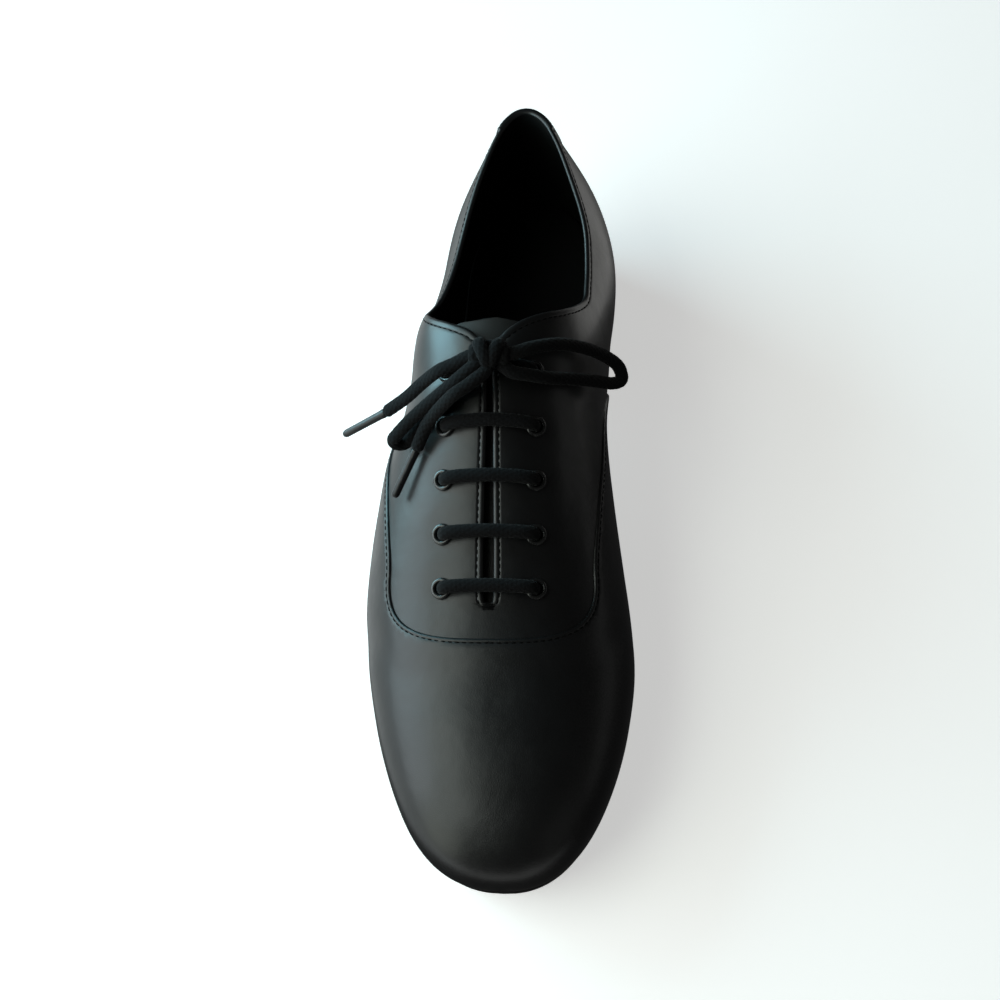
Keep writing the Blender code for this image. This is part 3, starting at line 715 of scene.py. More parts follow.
def rim_line(side):
    """(station, across) places along the collar's edge and down the facing."""
    throat = THROAT_BASE - THROAT_FINE * np.linspace(0, 1, THROAT_POINTS)[::-1] ** 2
    middle = np.arange(HEEL_ROUND_TO, THROAT_BASE - THROAT_FINE, LINE_STEP / LENGTH)
    places = []
    for s in np.concatenate([heel_stations(LINE_POINTS), middle[1:], throat]):
        run = half_section(s, side)[1]
        places.append((s, side * (run[-1] - wall_end(s, side, 0.0))))
    return places


def search_tree(places):
    """The points of the last at (station, across) places, as a search tree."""
    tree = kdtree.KDTree(len(places))
    for index, place in enumerate(places):
        tree.insert(on_last(*place)[0], index)
    tree.balance()
    return tree


RIM_TREE = search_tree([place for side in (MEDIAL, LATERAL) for place in rim_line(side)])
EYELET_SPOTS = [(s, side * EYELET_ACROSS) for s in EYELET_STATIONS for side in (LATERAL, MEDIAL)]
EYELET_TREE = search_tree(EYELET_SPOTS)


def groove(distance, at):
    """Depth of a stitched groove at a distance from an edge."""
    return GROOVE_DEPTH * max(0.0, 1 - abs(distance - at) / GROOVE_HALF)


def crease_depth(s, across):
    """Sum of the creases at a place."""
    here = np.array((s * LENGTH, across))
    depth = 0.0
    for from_station, from_across, to_station, to_across, deep, breadth in CREASES:
        start = np.array((from_station * LENGTH, from_across))
        way = np.array((to_station * LENGTH, to_across)) - start
        share = np.clip(np.dot(here - start, way) / np.dot(way, way), 0, 1)
        away = np.linalg.norm(here - start - share * way)
        fade = math.sin(math.pi * (CREASE_START + CREASE_SPAN * share))
        depth += deep * math.exp(-((away / breadth) ** 2)) * fade
    return depth


def dimple_depth(point):
    """The leather drawn in round each eyelet."""
    away = EYELET_TREE.find(point)[2]
    return DIMPLE_DEPTH * math.exp(-((away / DIMPLE_BREADTH) ** 2))


def rise(s, across, point):
    """How far the finished leather stands over the last."""
    run = half_section(s, MEDIAL if across >= 0 else LATERAL)[1]
    vamp = -seam_distance(s, across)
    edge = math.sqrt(1 - (1 - limited(vamp / EDGE_ROUND)) ** 2)
    fade = 1 - blend((vamp - EDGE_ROUND) / SEAM_BLEND)
    fade *= blend((run[-1] - abs(across)) / SEAM_FOOT)
    tab = tab_depth(point)
    high = SEAM_STEP * edge * fade - groove(vamp, SEAM_STITCH) * fade
    high += TAB_STEP * limited(tab / TAB_RAMP) - groove(tab, TAB_STITCH)
    high -= groove(RIM_TREE.find(point)[2], RIM_STITCH)
    return high - crease_depth(s, across) - dimple_depth(point)


def finished(s, across, lift=0.0):
    """A point over the finished leather, the forward direction and the outward direction."""
    point, forward, normal = on_last(s, across)
    return point + normal * (rise(s, across, point) + lift), forward, normal


def link(name, data):
    """Puts a new object into the scene."""
    made = bpy.data.objects.new(name, data)
    bpy.context.scene.collection.objects.link(made)
    return made


def add_mesh(name, bm, materials):
    """Puts the mesh into the scene, shaded smooth."""
    mesh = bpy.data.meshes.new(name)
    bm.to_mesh(mesh)
    bm.free()
    for made in materials:
        mesh.materials.append(made)
    mesh.shade_smooth()
    return link(name, mesh)


def add_piece(name, bm, materials, slot, *nodes):
    """Makes the mesh a piece of the shoe that stands for its nodes."""
    bmesh.ops.recalc_face_normals(bm, faces=bm.faces)
    piece = add_mesh(name, bm, materials)
    piece.data.set_sharp_from_angle(angle=math.radians(SHARP_ANGLE))
    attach(piece, "root")
    if nodes:
        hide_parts(*nodes)
    return piece


def add_ring(bm, centre, beside, over, sides, grown=1.0):
    """An oval ring of vertices: beside and over are its half-axes, grown its size at each vertex."""
    turns = full_turn(sides)[:, None]
    out = np.cos(turns) * beside + np.sin(turns) * over
    return [bm.verts.new(Vector(point) * MM) for point in centre + out * np.reshape(grown, (-1, 1))]


def skin_rings(bm, rings):
    """Faces between rings of vertices, with both ends closed."""
    for a, b in zip(rings, rings[1:]):
        for j in range(len(a)):
            k = (j + 1) % len(a)
            bm.faces.new((a[j], b[j], b[k], a[k]))
    bm.faces.new(rings[0])
    bm.faces.new(rings[-1][::-1])


def weld(bm):
    bmesh.ops.remove_doubles(bm, verts=bm.verts, dist=MERGE)
    bmesh.ops.dissolve_degenerate(bm, edges=bm.edges, dist=MERGE)


def slide(bm, vert, other, share):
    """Moves a vertex along an edge, with all its values."""
    vert.co = vert.co.lerp(other.co, share)
    for layer in bm.verts.layers.float.values():
        vert[layer] += (other[layer] - vert[layer]) * share


def cut_along(bm, layer, level, placed):
    """Adds edges where a vertex value crosses a level; a vertex near by slides onto it, but only once."""
    for edge in list(bm.edges):
        a, b = edge.verts
        before, after = a[layer] - level, b[layer] - level
        if before * after >= 0:
            continue
        share = before / (before - after)
        near, far, way = (a, b, share) if share < 0.5 else (b, a, 1 - share)
        if way < SNAP:
            if near not in placed:
                slide(bm, near, far, way)
        else:
            _, near = bmesh.utils.edge_split(edge, a, share)
        near[layer] = level
        placed.add(near)
    for face in list(bm.faces):
        on = [v for v in face.verts if abs(v[layer] - level) < TINY]
        if len(on) == 2 and not any(set(e.verts) == set(on) for e in face.edges):
            bmesh.utils.face_split(face, on[0], on[1])


def spaced_stations(middle_count, others=()):
    """Stations along the shoe, closer together round the heel and the toe."""
    middle = np.linspace(HEEL_ROUND_TO, TOE_ROUND_FROM, middle_count)
    toe_turn = np.sin(np.radians(np.linspace(0, 90, TOE_SECTIONS)))
    toe = TOE_ROUND_FROM + (1 - TOE_ROUND_FROM) * toe_turn
    every = sorted({*others, *heel_stations(HEEL_SECTIONS), *middle, *toe})
    return [s for i, s in enumerate(every) if i == 0 or s - every[i - 1] > STATION_APART]


def upper_stations():
    throat = THROAT_BASE + RIM / LENGTH - THROAT_FINE * np.linspace(0, 1, THROAT_SECTIONS) ** 2
    kept = spaced_stations(MIDDLE_SECTIONS, throat)
    return kept if kept[-1] == 1.0 else kept[:-1] + [1.0]


def upper_skin(bm, layers):
    """The outer face of the upper, as a grid over each side of the last."""
    for side in (MEDIAL, LATERAL):
        rows = []
        for s in upper_stations():
            points, run = half_section(s, side)
            row = []
            for distance in np.linspace(0, wall_end(s, side, RIM), WALL_COLUMNS + 1):
                point = sample(points, run, distance)
                across = side * (run[-1] - distance)
                vert = bm.verts.new(Vector(point) * MM)
                vert[layers["station"]] = s
                vert[layers["across"]] = across
                vert[layers["seam"]] = -seam_distance(s, across)
                vert[layers["tab"]] = tab_depth(point)
                vert[layers["rim"]] = RIM_TREE.find(point)[2]
                vert[layers["hole"]] = EYELET_TREE.find(point)[2]
                row.append(vert)
            rows.append(row)
        for i in range(len(rows) - 1):
            for j in range(WALL_COLUMNS):
                quad = [rows[i][j], rows[i + 1][j], rows[i + 1][j + 1], rows[i][j + 1]]
                bm.faces.new(quad if side == LATERAL else quad[::-1])
    weld(bm)


def cut_lines(bm, layers):
    """Edges along the vamp's rounded edge, the heel tab and the stitched grooves."""
    placed = set()
    side_lines = (-GROOVE_HALF, 0.0, GROOVE_HALF)
    levels = {
        "seam": [0.0, EDGE_ROUND * EDGE_FOOT, EDGE_ROUND] + [SEAM_STITCH + step for step in side_lines],
        "tab": [0.0, TAB_RAMP] + [TAB_STITCH + step for step in side_lines],
        "rim": [RIM_STITCH + step for step in side_lines],
    }
    for name, values in levels.items():
        for level in values:
            cut_along(bm, layers[name], level, placed)


def round_rim(bm, inner, layers):
    """Joins outer and inner face round the open edges: rounded at collar and throat, flat underneath."""
    loops = [edge.link_loops[0] for edge in bm.edges if edge.is_boundary]
    pairs = [(loop.vert, loop.link_loop_next.vert) for loop in loops]
    pairs = [(a, b) for a, b in pairs if a in inner and b in inner]
    outward = {}
    for a, b in pairs:
        way = (b.co - a.co).normalized()
        for v in (a, b):
            through_wall = (v.co - inner[v].co).normalized()
            outward[v] = outward.get(v, Vector()) + way.cross(through_wall)
    arcs = {}
    for v, out in outward.items():
        half = (v.co - inner[v].co) / 2
        swell = RIM * MM if v[layers["rim"]] < 2 * RIM else 0.0
        arc = [v]
        for k in range(1, RIM_STEPS):
            turn = math.pi * k / RIM_STEPS
            place = v.co - half + half * math.cos(turn) + out.normalized() * swell * math.sin(turn)
            arc.append(bm.verts.new(place))
        arcs[v] = arc + [inner[v]]
    for a, b in pairs:
        for k in range(RIM_STEPS):
            bm.faces.new((arcs[b][k], arcs[a][k], arcs[a][k + 1], arcs[b][k + 1]))


def cut_eyelet_holes(bm, layers):
    """Takes out the leather inside each eyelet's barrel."""
    edge = EYELET_BARREL + GAP
    cut_along(bm, layers["hole"], edge, set())
    inside = [f for f in bm.faces if all(v[layers["hole"]] < edge + TINY for v in f.verts)]
    bmesh.ops.delete(bm, geom=inside, context="FACES")


def build_upper(leather, lining):
    bm = bmesh.new()
    names = ("station", "across", "seam", "tab", "rim", "hole")
    layers = {name: bm.verts.layers.float.new(name) for name in names}
    upper_skin(bm, layers)
    cut_lines(bm, layers)
    cut_eyelet_holes(bm, layers)
    bm.normal_update()
    normals = {v: v.normal.copy() for v in bm.verts}
    faces = list(bm.faces)
    outer = list(bm.verts)
    inner = {v: bm.verts.new(v.co - normals[v] * WALL * MM) for v in outer}
    for v in outer:
        high = rise(v[layers["station"]], v[layers["across"]], v.co / MM)
        v.co += normals[v] * high * MM
    round_rim(bm, inner, layers)
    for face in faces:
        back = bm.faces.new([inner[v] for v in reversed(face.verts)])
        back.material_index = 1
    return add_piece("leather_upper", bm, (leather, lining), "upper_leather", "upper")


def add_stitch(bm, start, end, normal):
    """One stitch: a short spindle of thread whose ends dip into the leather."""
    way = end - start
    beside = np.cross(normal, unit(way))
    rings = []
    for share, girth in STITCH_SHAPE:
        size = STITCH_RADIUS * girth
        centre = start + way * share + normal * STITCH_RADIUS * (2 * girth - STITCH_DIP)
        rings.append(add_ring(bm, centre, beside * size, normal * size, STITCH_SIDES))
    skin_rings(bm, rings)


def add_row(bm, points, normals):
    """A row of stitches at an even pitch along a line on the leather."""
    points = np.array(points)
    run = lengths(points)
    places = np.linspace(0, run[-1], max(2, round(run[-1] / STITCH_PITCH) + 1))
    spots = sample(points, run, places)
    turned = unit(sample(np.array(normals), run, places))
    for a, b, normal in zip(spots, spots[1:], turned):
        add_stitch(bm, a, a + (b - a) * STITCH_LENGTH / STITCH_PITCH, normal)


def seam_line(side):
    """(station, across) places along the row of stitches on the vamp's edge, front to back."""
    turn = np.radians(np.linspace(90, 0, LINE_POINTS))
    front = SEAM_FRONT - SEAM_ROUND / LENGTH * (1 - np.sin(turn))
    back = np.arange(front[-1], SEAM_BACK, -LINE_STEP / LENGTH)
    places = []
    for s in np.concatenate([front, back[1:]]):
        reach = (SEAM_FRONT - s) * LENGTH
        across = seam_half(reach) * superellipse(max(0.0, (SEAM_ROUND - reach) / SEAM_ROUND), SEAM_POWER)
        if half_section(s, side)[1][-1] - across < SEAM_ROW_END:
            break
        places.append((s, across))
    line = np.array(places) * (LENGTH, 1.0)
    way = np.gradient(line, axis=0)
    out = unit(np.column_stack([way[:, 1], -way[:, 0]]))
    line = (line + out * SEAM_STITCH) / (LENGTH, 1.0)
    return [(s, side * max(across, 0.0)) for s, across in line]


def on_leather(places):
    """Points of the finished leather at (station, across) places, and the outward directions."""
    spots = [finished(*place) for place in places]
    return np.array([spot[0] for spot in spots]), np.array([spot[2] for spot in spots])


def offset_line(places, distance, skin):
    """A line on the leather beside an edge, at a distance from it, cast onto the finished skin."""
    points, normals = on_leather(places)
    inward = np.cross(np.gradient(points, axis=0), normals)
    inward /= np.maximum(np.linalg.norm(inward, axis=1), TINY)[:, None]
    cast = []
    for point, normal in zip(points + inward * distance, normals):
        hit = skin.ray_cast(Vector(point + normal * WALL) * MM, Vector(-normal), 2 * WALL * MM)[0]
        cast.append(point if hit is None else np.array(hit) / MM)
    return np.array(cast), normals


def build_stitching(thread, upper):
    bm = bmesh.new()
    faces = [face.vertices for face in upper.data.polygons]
    skin = BVHTree.FromPolygons([v.co for v in upper.data.vertices], faces)
    for side in (MEDIAL, LATERAL):
        add_row(bm, *on_leather(seam_line(side)))
        add_row(bm, *offset_line(rim_line(side), -side * RIM_STITCH, skin))
    point, forward, normal = finished(THROAT_BASE + TACK_BACK / LENGTH, 0.0)
    beside = np.cross(normal, forward)
    for k in range(TACK_THREADS):
        middle = point + forward * STITCH_RADIUS * 2 * (k - TACK_THREADS / 2)
        add_stitch(bm, middle - beside * TACK_LENGTH / 2, middle + beside * TACK_LENGTH / 2, normal)
    add_piece("seam_stitching", bm, (thread,), "lace_cotton")


def tongue_at(s):
    """Half-width of the tongue at a station and its clearance under the facings."""
    share = (s - TONGUE_TOP) / (TONGUE_FRONT - TONGUE_TOP)
    half = TONGUE_HALF_TOP + (TONGUE_HALF_FRONT - TONGUE_HALF_TOP) * share
    turn = max(0.0, (TONGUE_ROUND - share) / (TONGUE_ROUND + TONGUE_TIP))
    seated = blend((share - TONGUE_SEAT_FROM) / (TONGUE_SEAT_TO - TONGUE_SEAT_FROM))
    return half * superellipse(turn, TONGUE_ROUND_POWER), GAP + TONGUE_CLEAR * (1 - seated)


def build_tongue(leather, thread):
    """The tongue under the facings: a leaf with rounded edges and a stitched border."""
    bm = bmesh.new()
    rings = []
    for s in np.linspace(TONGUE_TOP, TONGUE_FRONT, TONGUE_RINGS):
        half, clear = tongue_at(s)
        ring = []
        for turn in full_turn(TONGUE_POINTS):
            wide = math.copysign(abs(math.cos(turn)) ** TONGUE_EDGE, math.cos(turn))
            deep = math.copysign(abs(math.sin(turn)) ** TONGUE_EDGE, math.sin(turn))
            point, _, normal = on_last(s, half * wide)
            depth = WALL + clear + TONGUE_THICKNESS * (1 - deep) / 2
            ring.append(bm.verts.new(Vector(point - normal * depth) * MM))
        rings.append(ring)
    skin_rings(bm, rings)
    add_piece("leather_tongue", bm, (leather,), "tongue_leather", "tongue")
    bm = bmesh.new()
    for side in (MEDIAL, LATERAL):
        points = []
        normals = []
        for s in np.linspace(TONGUE_TOP, TONGUE_FRONT, TONGUE_ROW_POINTS)[1:]:
            half, clear = tongue_at(s)
            inset = s + TONGUE_STITCH / LENGTH
            point, _, normal = on_last(inset, side * max(half - TONGUE_STITCH, 0.0))
            points.append(point - normal * (WALL + clear))
            normals.append(normal)
        add_row(bm, points, normals)
    add_piece("tongue_stitching", bm, (thread,), "lace_cotton")


def bottom_stations(last_station=1.0):
    kept = spaced_stations(MIDDLE_SECTIONS // 2)
    return [s for s in kept if s < last_station - STATION_APART] + [last_station]


def add_slab(name, stations, levels_at, materials, slot, node):
    """A bottom piece lofted through its stations."""
    bm = bmesh.new()
    rings = [[bm.verts.new(Vector(p) * MM) for p in slab_ring(s, levels_at(s))] for s in stations]
    skin_rings(bm, rings)
    weld(bm)
    return add_piece(name, bm, materials, slot, node)


def rounded_edge(low, high, grow, radius):
    """(height, growth) rows round a piece's edge, low to high."""
    rows = []
    for edge, up in ((low, 1), (high, -1)):
        for turn in np.radians(EDGE_TURNS[::up]):
            rows.append((edge + up * radius * (1 - math.cos(turn)), grow - radius * (1 - math.sin(turn))))
    return rows


def sole_levels(s):
    top = LAST["sole_top"](s)
    return rounded_edge(max(0.0, top - SOLE_THICKNESS), top, SOLE_EDGE, SOLE_ROUND)


def heel_growth(s, z):
    top = LAST["sole_top"](s) - SOLE_THICKNESS - GAP
    return SOLE_EDGE - SOLE_BEVEL - HEEL_TAPER * (1 - z / top)


def heel_levels(s):
    """The heel's level lifts, a fine groove between each two; the highest is cut to the sole's slope."""
    edges = [TOP_PIECE + GAP + k * LIFT_HIGH for k in range(HEEL_LIFTS)]
    edges.append(LAST["sole_top"](s) - SOLE_THICKNESS - GAP)
    rows = [(edges[0], 1.0)]
    for low, high in zip(edges, edges[1:]):
        rows += [(low + LIFT_GROOVE, 0.0), (high - LIFT_GROOVE, 0.0), (high, 1.0)]
    return [(z, heel_growth(s, z) - LIFT_GROOVE * cut) for z, cut in rows]


def top_piece_levels(s):
    return rounded_edge(0.0, TOP_PIECE, heel_growth(s, TOP_PIECE / 2), TOP_PIECE_ROUND)


def insole_levels(s):
    low = LAST["sole_top"](s) + GAP
    return rounded_edge(low, low + INSOLE_THICKNESS, -INSOLE_INSET, INSOLE_ROUND)


def build_bottom(mats):
    finish = (mats["edge"], mats["sole"])
    sole = add_slab("sole_bottom", bottom_stations(), sole_levels, finish, "sole_leather", "outsole")
    for face in sole.data.polygons:
        face.material_index = int(face.normal.z < SOLE_FACING)
    heel = bottom_stations(HEEL_BREAST)
    add_slab("heel_stack", heel, heel_levels, (mats["heel"],), "heel_stack", "heel_block")
    add_slab("heel_cap", heel, top_piece_levels, (mats["rubber"],), "top_piece_rubber", "heel_top_piece")
    add_slab("sock_lining", bottom_stations(), insole_levels, (mats["insole"],), "insole_leather", "insole")


def build_eyelets(paint):
    """Rolled rings through the facings."""
    profile = [(EYELET_BORE, -WALL - EYELET_CLINCH)]
    middle = (EYELET_FLANGE + EYELET_BORE) / 2
    reach = (EYELET_FLANGE - EYELET_BORE) / 2
    for turn in np.linspace(math.pi, 0, EYELET_ROLL):
        profile.append((middle + reach * math.cos(turn), GAP + (EYELET_RISE - GAP) * math.sin(turn)))
    profile += [(EYELET_BARREL, 0.0), (EYELET_BARREL, -WALL - EYELET_CLINCH)]
    for number, s in enumerate(EYELET_STATIONS, 1):
        for side, across in (("lateral", -EYELET_ACROSS), ("medial", EYELET_ACROSS)):
            point, forward, normal = finished(s, across, DIMPLE_DEPTH)
            beside = np.cross(normal, forward)
            bm = bmesh.new()
            rings = []
            for turn in full_turn(EYELET_SIDES):
                out = beside * math.cos(turn) + forward * math.sin(turn)
                rings.append([bm.verts.new(Vector(point + out * r + normal * z) * MM) for r, z in profile])
            for a, b in zip(rings, rings[1:] + rings[:1]):
                for j in range(len(profile)):
                    k = (j + 1) % len(profile)
                    bm.faces.new((a[j], b[j], b[k], a[k]))
            add_piece(f"ring_{side}_{number}", bm, (paint,), "eyelet_metal", f"eyelet_{side}_{number}")


def even_route(points, step=LACE_STEP):
    """A route resampled at even steps of the braid."""
    points = np.array(points, float)
    run = lengths(points)
    return sample(points, run, np.linspace(0, run[-1], max(4, round(run[-1] / step) + 1)))


def curve_through(points):
    """A dense smooth curve through a route's own points."""
    rows = np.array(points, float)
    columns = [through(range(len(rows)), rows[:, k]) for k in range(3)]
    places = np.linspace(0, len(rows) - 1, CURVE_STEPS * (len(rows) - 1) + 1)
    return np.array([[column(place) for column in columns] for place in places])


def add_tube(bm, path, wide_way, girth=1.0, wide=LACE_WIDE, thick=LACE_THICK):
    """An oval braided cord along a path; wide_way is the direction of its width at each point."""
    way = unit(np.gradient(path, axis=0))
    wide_way = np.broadcast_to(wide_way, path.shape)
    beside = unit(wide_way - way * np.sum(way * wide_way, axis=1)[:, None])
    over = np.cross(way, beside)
    run = lengths(path)
    end = np.minimum(run, run[-1] - run) / thick
    girth = girth * np.sqrt(np.clip(1 - (1 - np.minimum(end + LACE_END, 1.0)) ** 2, 0.0, 1.0))
    lean = BRAID_STRANDS * full_turn(LACE_SIDES)
    rings = []
    for i, centre in enumerate(path):
        phase = 2 * math.pi * run[i] / BRAID_PITCH
        weave = np.maximum(np.cos(lean + phase), np.cos(lean - phase))
        size = girth[i] * (1 + BRAID_DEPTH * weave)
        rings.append(add_ring(bm, centre, beside[i] * wide, over[i] * thick, LACE_SIDES, size))
    skin_rings(bm, rings)


def bar_path(s):
    """Centre line of a bar: up out of one eyelet, across the facings and down into the other."""
    every = [(-share * EYELET_ACROSS, lift) for share, lift in BAR_SHAPE]
    every += [(share * EYELET_ACROSS, lift) for share, lift in BAR_SHAPE[-2::-1]]
    spots = [on_last(s, across) for across, _ in every]
    points = [spot[0] + spot[2] * lift for spot, (_, lift) in zip(spots, every)]
    return even_route(curve_through(points)), spots[len(spots) // 2][1]


def build_bars(lace):
    for number, s in enumerate(EYELET_STATIONS, 1):
        path, forward = bar_path(s)
        run = lengths(path)
        near_end = np.minimum(run, run[-1] - run)
        girth = LACE_IN_BORE + (1 - LACE_IN_BORE) * np.clip(near_end / BAR_DIP - 1, 0, 1)
        bm = bmesh.new()
        add_tube(bm, path, forward, girth)
        add_piece(f"braid_bar_{number}", bm, (lace,), "lace_cotton", f"lace_bar_{number}")


def add_cord(name, node, lace, far_end):
    """A free stretch of the bow as a braided cord."""
    centre = knot_place()[0]
    route = list(np.array(ROUTES[node]))
    points = [centre + (route[0] - centre) * KNOT_ROOT, *route]
    if far_end == "object":
        points.append(centre + (route[-1] - centre) * KNOT_ROOT)
    path = even_route(curve_through(points))
    way = np.gradient(path, axis=0)
    bm = bmesh.new()
    add_tube(bm, path, np.cross(way, BOW_UP))
    piece = add_piece(name, bm, (lace,), "lace_cotton", node)


def build_aglet(name, node, film):
    """The film-wrapped tip of the lace, slightly flattened, with a rounded end."""
    start, end = np.array(AGLETS[node])
    way = unit(end - start)
    beside = unit(np.cross(way, BOW_UP))
    over = np.cross(beside, way) * AGLET_FLAT
    bm = bmesh.new()
    rings = []
    for share, girth in AGLET_SHAPE:
        size = AGLET_RADIUS * girth
        rings.append(add_ring(bm, start + (end - start) * share, beside * size, over * size, LACE_SIDES))
    skin_rings(bm, rings)
    return add_piece(name, bm, (film,), "aglet_plastic", node)


def knot_place():
    """Centre of the bow's knot, the forward direction and the outward direction."""
    point, forward, normal = on_last(KNOT_STATION, KNOT_ACROSS)
    return point + normal * KNOT_LIFT, forward, normal


def build_knot(lace):
    """The bow's knot: the drawn-up core, the two bands crossed over it and the half-knot beneath."""
    centre, forward, normal = knot_place()
    beside = np.cross(forward, normal)
    half_long, half_deep, half_high = KNOT_HALF
    bm = bmesh.new()
    core = even_route([centre - beside * half_long, centre + beside * half_long])
    add_tube(bm, core, forward, wide=half_deep * KNOT_CORE, thick=half_high * KNOT_CORE)
    for tilt, shift, sink, size in KNOT_BANDS:
        lean = math.radians(tilt)
        across = forward * math.cos(lean) + beside * math.sin(lean)
        middle = centre + beside * shift - normal * sink
        turns = np.linspace(0, 2 * math.pi, KNOT_STEPS)[:, None]
        ring = middle + size * (across * half_deep * np.cos(turns) + normal * half_high * np.sin(turns))
        add_tube(bm, even_route(ring), np.cross(across, normal), thick=LACE_THICK * KNOT_CORE)
    add_piece("tied_knot", bm, (lace,), "lace_cotton", "lace_knot")


def build_bow(lace, film):
    build_knot(lace)
    add_cord("braid_loop_lateral", "lace_loop_lateral", lace, "object")
    add_cord("braid_loop_medial", "lace_loop_medial", lace, "object")
    for end, node in (("outer", "aglet_outer"), ("inner", "aglet_inner")):
        tip = build_aglet(f"lace_tip_{end}", node, film)
        add_cord(f"braid_end_{end}", f"lace_end_{end}", lace, "fitting")


def shader_of(made):
    return made.node_tree.nodes["Principled BSDF"]


def material(name, colour, roughness, **sockets):
    made = bpy.data.materials.new(name)
    made.use_nodes = True
    inputs = shader_of(made).inputs
    inputs["Base Color"].default_value = (*colour, 1.0)
    inputs["Roughness"].default_value = roughness
    for socket, value in sockets.items():
        inputs[socket.replace("_", " ").title().replace("Ior", "IOR")].default_value = value
    return made


def node_of(made, kind, **settings):
    node = made.node_tree.nodes.new(kind)
    for name, value in settings.items():
        setattr(node, name, value)
    return node


def texture(made, kind, cells, output, **settings):
    """A texture in the shoe's own space, with so many cells in a metre."""
    place = node_of(made, "ShaderNodeTexCoord")
    pattern = node_of(made, kind, **settings)
    pattern.inputs["Scale"].default_value = cells
    made.node_tree.links.new(place.outputs["Object"], pattern.inputs["Vector"])
    return pattern.outputs[output]


def noise(made, cells):
    return texture(made, "ShaderNodeTexNoise", cells, "Fac")


def add_bump(made, source, strength, high):
    """A bump over those that the shader already has."""
    links = made.node_tree.links
    normal = shader_of(made).inputs["Normal"]
    bump = node_of(made, "ShaderNodeBump")
    bump.inputs["Strength"].default_value = strength
    bump.inputs["Distance"].default_value = high * MM
    links.new(source, bump.inputs["Height"])
    if normal.is_linked:
        links.new(normal.links[0].from_socket, bump.inputs["Normal"])
    links.new(bump.outputs["Normal"], normal)


def vary(made, socket, source, low, high):
    """Lets a shader value wander between two numbers."""
    links = made.node_tree.links
    spread = node_of(made, "ShaderNodeMapRange")
    spread.inputs["To Min"].default_value = low
    spread.inputs["To Max"].default_value = high
    links.new(source, spread.inputs["Value"])
    links.new(spread.outputs["Result"], shader_of(made).inputs[socket])


def vary_colour(made, source, dark, light):
    """Lets the colour wander between two tones."""
    links = made.node_tree.links
    ramp = node_of(made, "ShaderNodeValToRGB")
    for element, tone in zip(ramp.color_ramp.elements, (dark, light)):
        element.color = (*tone, 1.0)
    links.new(source, ramp.inputs["Fac"])
    links.new(ramp.outputs["Color"], shader_of(made).inputs["Base Color"])


def leather(name, dark, light, roughness, grain, coat, gloss):
    """Smooth grain leather: fine pebbling, a faint unevenness and a satin finish."""
    finish = {"coat_weight": coat, "coat_roughness": COAT_ROUGHNESS, "specular_ior_level": gloss}
    made = material(name, light, roughness, **finish)
    pebble = texture(made, "ShaderNodeTexVoronoi", PEBBLE_CELLS, "Distance", feature="DISTANCE_TO_EDGE")
    uneven = noise(made, UNEVEN_CELLS)
    vary_colour(made, noise(made, CLOUD_CELLS), dark, light)
    vary(made, "Roughness", uneven, roughness - ROUGHNESS_SWAY, roughness + ROUGHNESS_SWAY)
    add_bump(made, pebble, grain, PEBBLE_HIGH)
    add_bump(made, noise(made, PORE_CELLS), grain * PORE_SHARE, FINE_HIGH)
    add_bump(made, uneven, UNEVEN_STRENGTH, UNEVEN_HIGH)
    return made


def fabric(name, dark, light, roughness, sheen):
    """Soft black yarn with a matt sheen."""
    finish = {"sheen_weight": sheen, "sheen_roughness": SHEEN_ROUGHNESS, "specular_ior_level": YARN_GLOSS}
    made = material(name, light, roughness, **finish)
    fibre = noise(made, FIBRE_CELLS)
    vary_colour(made, fibre, dark, light)
    add_bump(made, fibre, FIBRE_STRENGTH, FINE_HIGH)
    return made


def plain_finish(name, colour, roughness, cells, low, high, strength, **sockets):
    """A plain finish whose roughness wanders with a fine noise."""
    made = material(name, colour, roughness, **sockets)
    speck = noise(made, cells)
    vary(made, "Roughness", speck, low, high)
    if strength:
        add_bump(made, speck, strength, FINE_HIGH)
    return made


def suede():
    made = material("suede_sole", SUEDE, SUEDE_ROUGHNESS, **SUEDE_SOCKETS)
    nap = noise(made, NAP_CELLS)
    vary_colour(made, nap, SUEDE_DARK, SUEDE_LIGHT)
    add_bump(made, nap, NAP_STRENGTH, NAP_HIGH)
    return made


def make_materials():
    mats = {key: leather(*row) for key, row in LEATHERS.items()}
    mats.update({key: fabric(*row) for key, row in YARNS.items()})
    mats.update({key: plain_finish(*row, **FINISH_SOCKETS[key]) for key, row in FINISHES.items()})
    return {**mats, "sole": suede()}


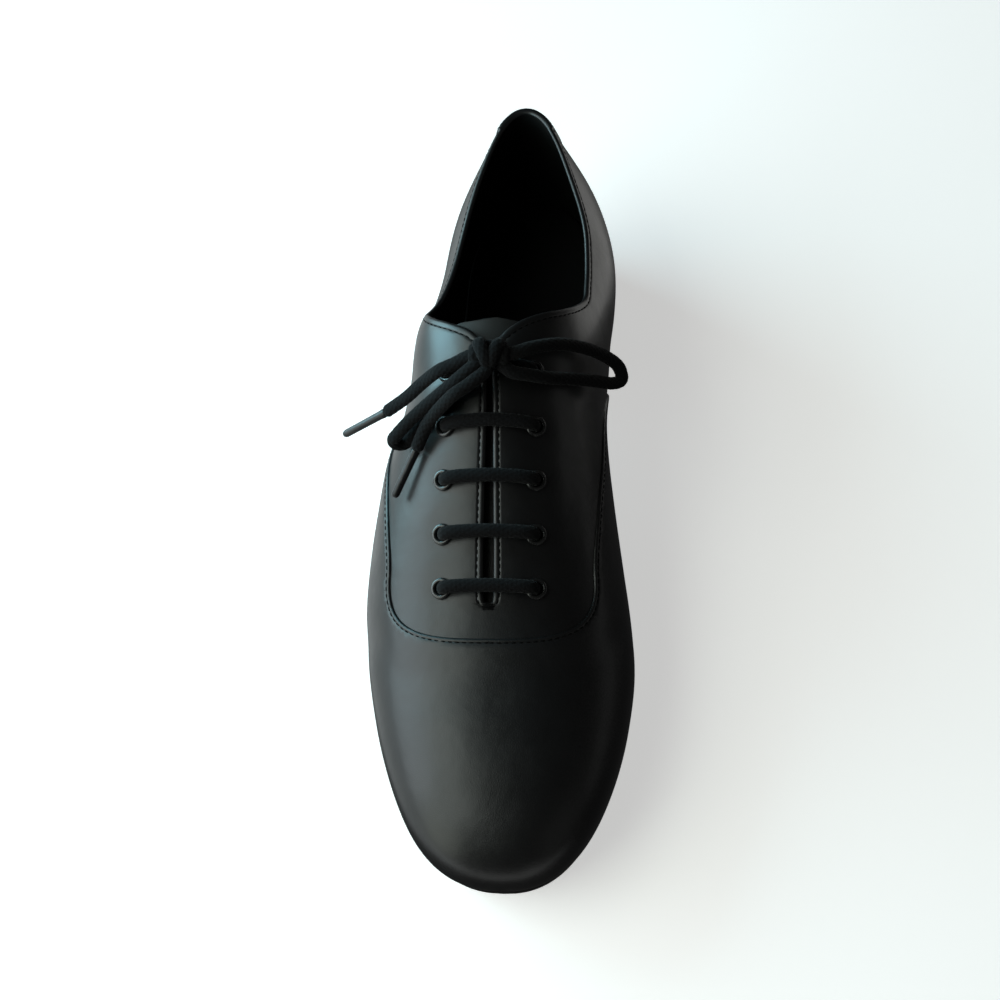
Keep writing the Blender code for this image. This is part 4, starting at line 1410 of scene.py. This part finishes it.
def build_floor():
    """A pale floor that sweeps up into a wall all round."""
    bm = bmesh.new()
    rings = []
    for reach, z in FLOOR_SWEEP:
        rings.append(add_ring(bm, (0.0, 0.0, z), (reach, 0.0, 0.0), (0.0, reach, 0.0), FLOOR_SIDES))
    skin_rings(bm, rings)
    bm.faces.ensure_lookup_table()
    bm.faces.remove(bm.faces[-1])
    glow = {"emission_color": (*FLOOR_COLOUR, 1.0), "emission_strength": FLOOR_GLOW}
    pale = material("pale_floor", FLOOR_COLOUR, FLOOR_ROUGHNESS, specular_ior_level=FLOOR_GLOSS, **glow)
    floor = add_mesh("studio_floor", bm, (pale,))
    floor.visible_glossy = False
    floor.visible_diffuse = False


def add_light(name, place, aim, size, bright, colour):
    light = bpy.data.lights.new(name, "AREA")
    light.shape = "RECTANGLE"
    light.size, light.size_y = (side * MM for side in size)
    light.energy = bright * math.pi * light.size * light.size_y
    light.color = colour
    lamp = link(name, light)
    lamp.location = Vector(place) * MM
    lamp.rotation_euler = (Vector(aim) - Vector(place)).to_track_quat("-Z", "Y").to_euler()
    lamp.visible_camera = False


def build_light():
    world = bpy.data.worlds.new("studio")
    world.use_nodes = True
    background = world.node_tree.nodes["Background"].inputs
    background["Color"].default_value = (*WORLD_COLOUR, 1.0)
    background["Strength"].default_value = WORLD_STRENGTH
    bpy.context.scene.world = world
    for row in LIGHTS:
        add_light(*row)
    bpy.context.scene.view_settings.view_transform = "Standard"


def build_camera():
    """The photograph's viewpoint, turned without roll until the shoe fills the frame."""
    camera = bpy.data.cameras.new("camera")
    camera.sensor_width = SENSOR
    camera.lens = SENSOR * FOCAL_PX / IMAGE_PX
    seat = Vector(CAMERA_PLACE)
    photo_way = Vector(PHOTO_TARGET) - seat
    turn = photo_way.to_track_quat("-Z", "Y")
    shoe_way = Vector(SHOE_TARGET) - seat
    stand = link("camera", camera)
    stand.location = seat * MM
    stand.rotation_mode = "QUATERNION"
    stand.rotation_quaternion = photo_way.rotation_difference(shoe_way) @ turn
    bpy.context.scene.camera = stand


def main():
    build_camera()
    mats = make_materials()
    build_bow(mats["lace"], mats["film"])
    build_bars(mats["lace"])
    upper = build_upper(mats["leather"], mats["lining"])
    build_stitching(mats["thread"], upper)
    build_tongue(mats["tongue"], mats["thread"])
    build_eyelets(mats["paint"])
    build_bottom(mats)
    build_floor()
    build_light()


main()
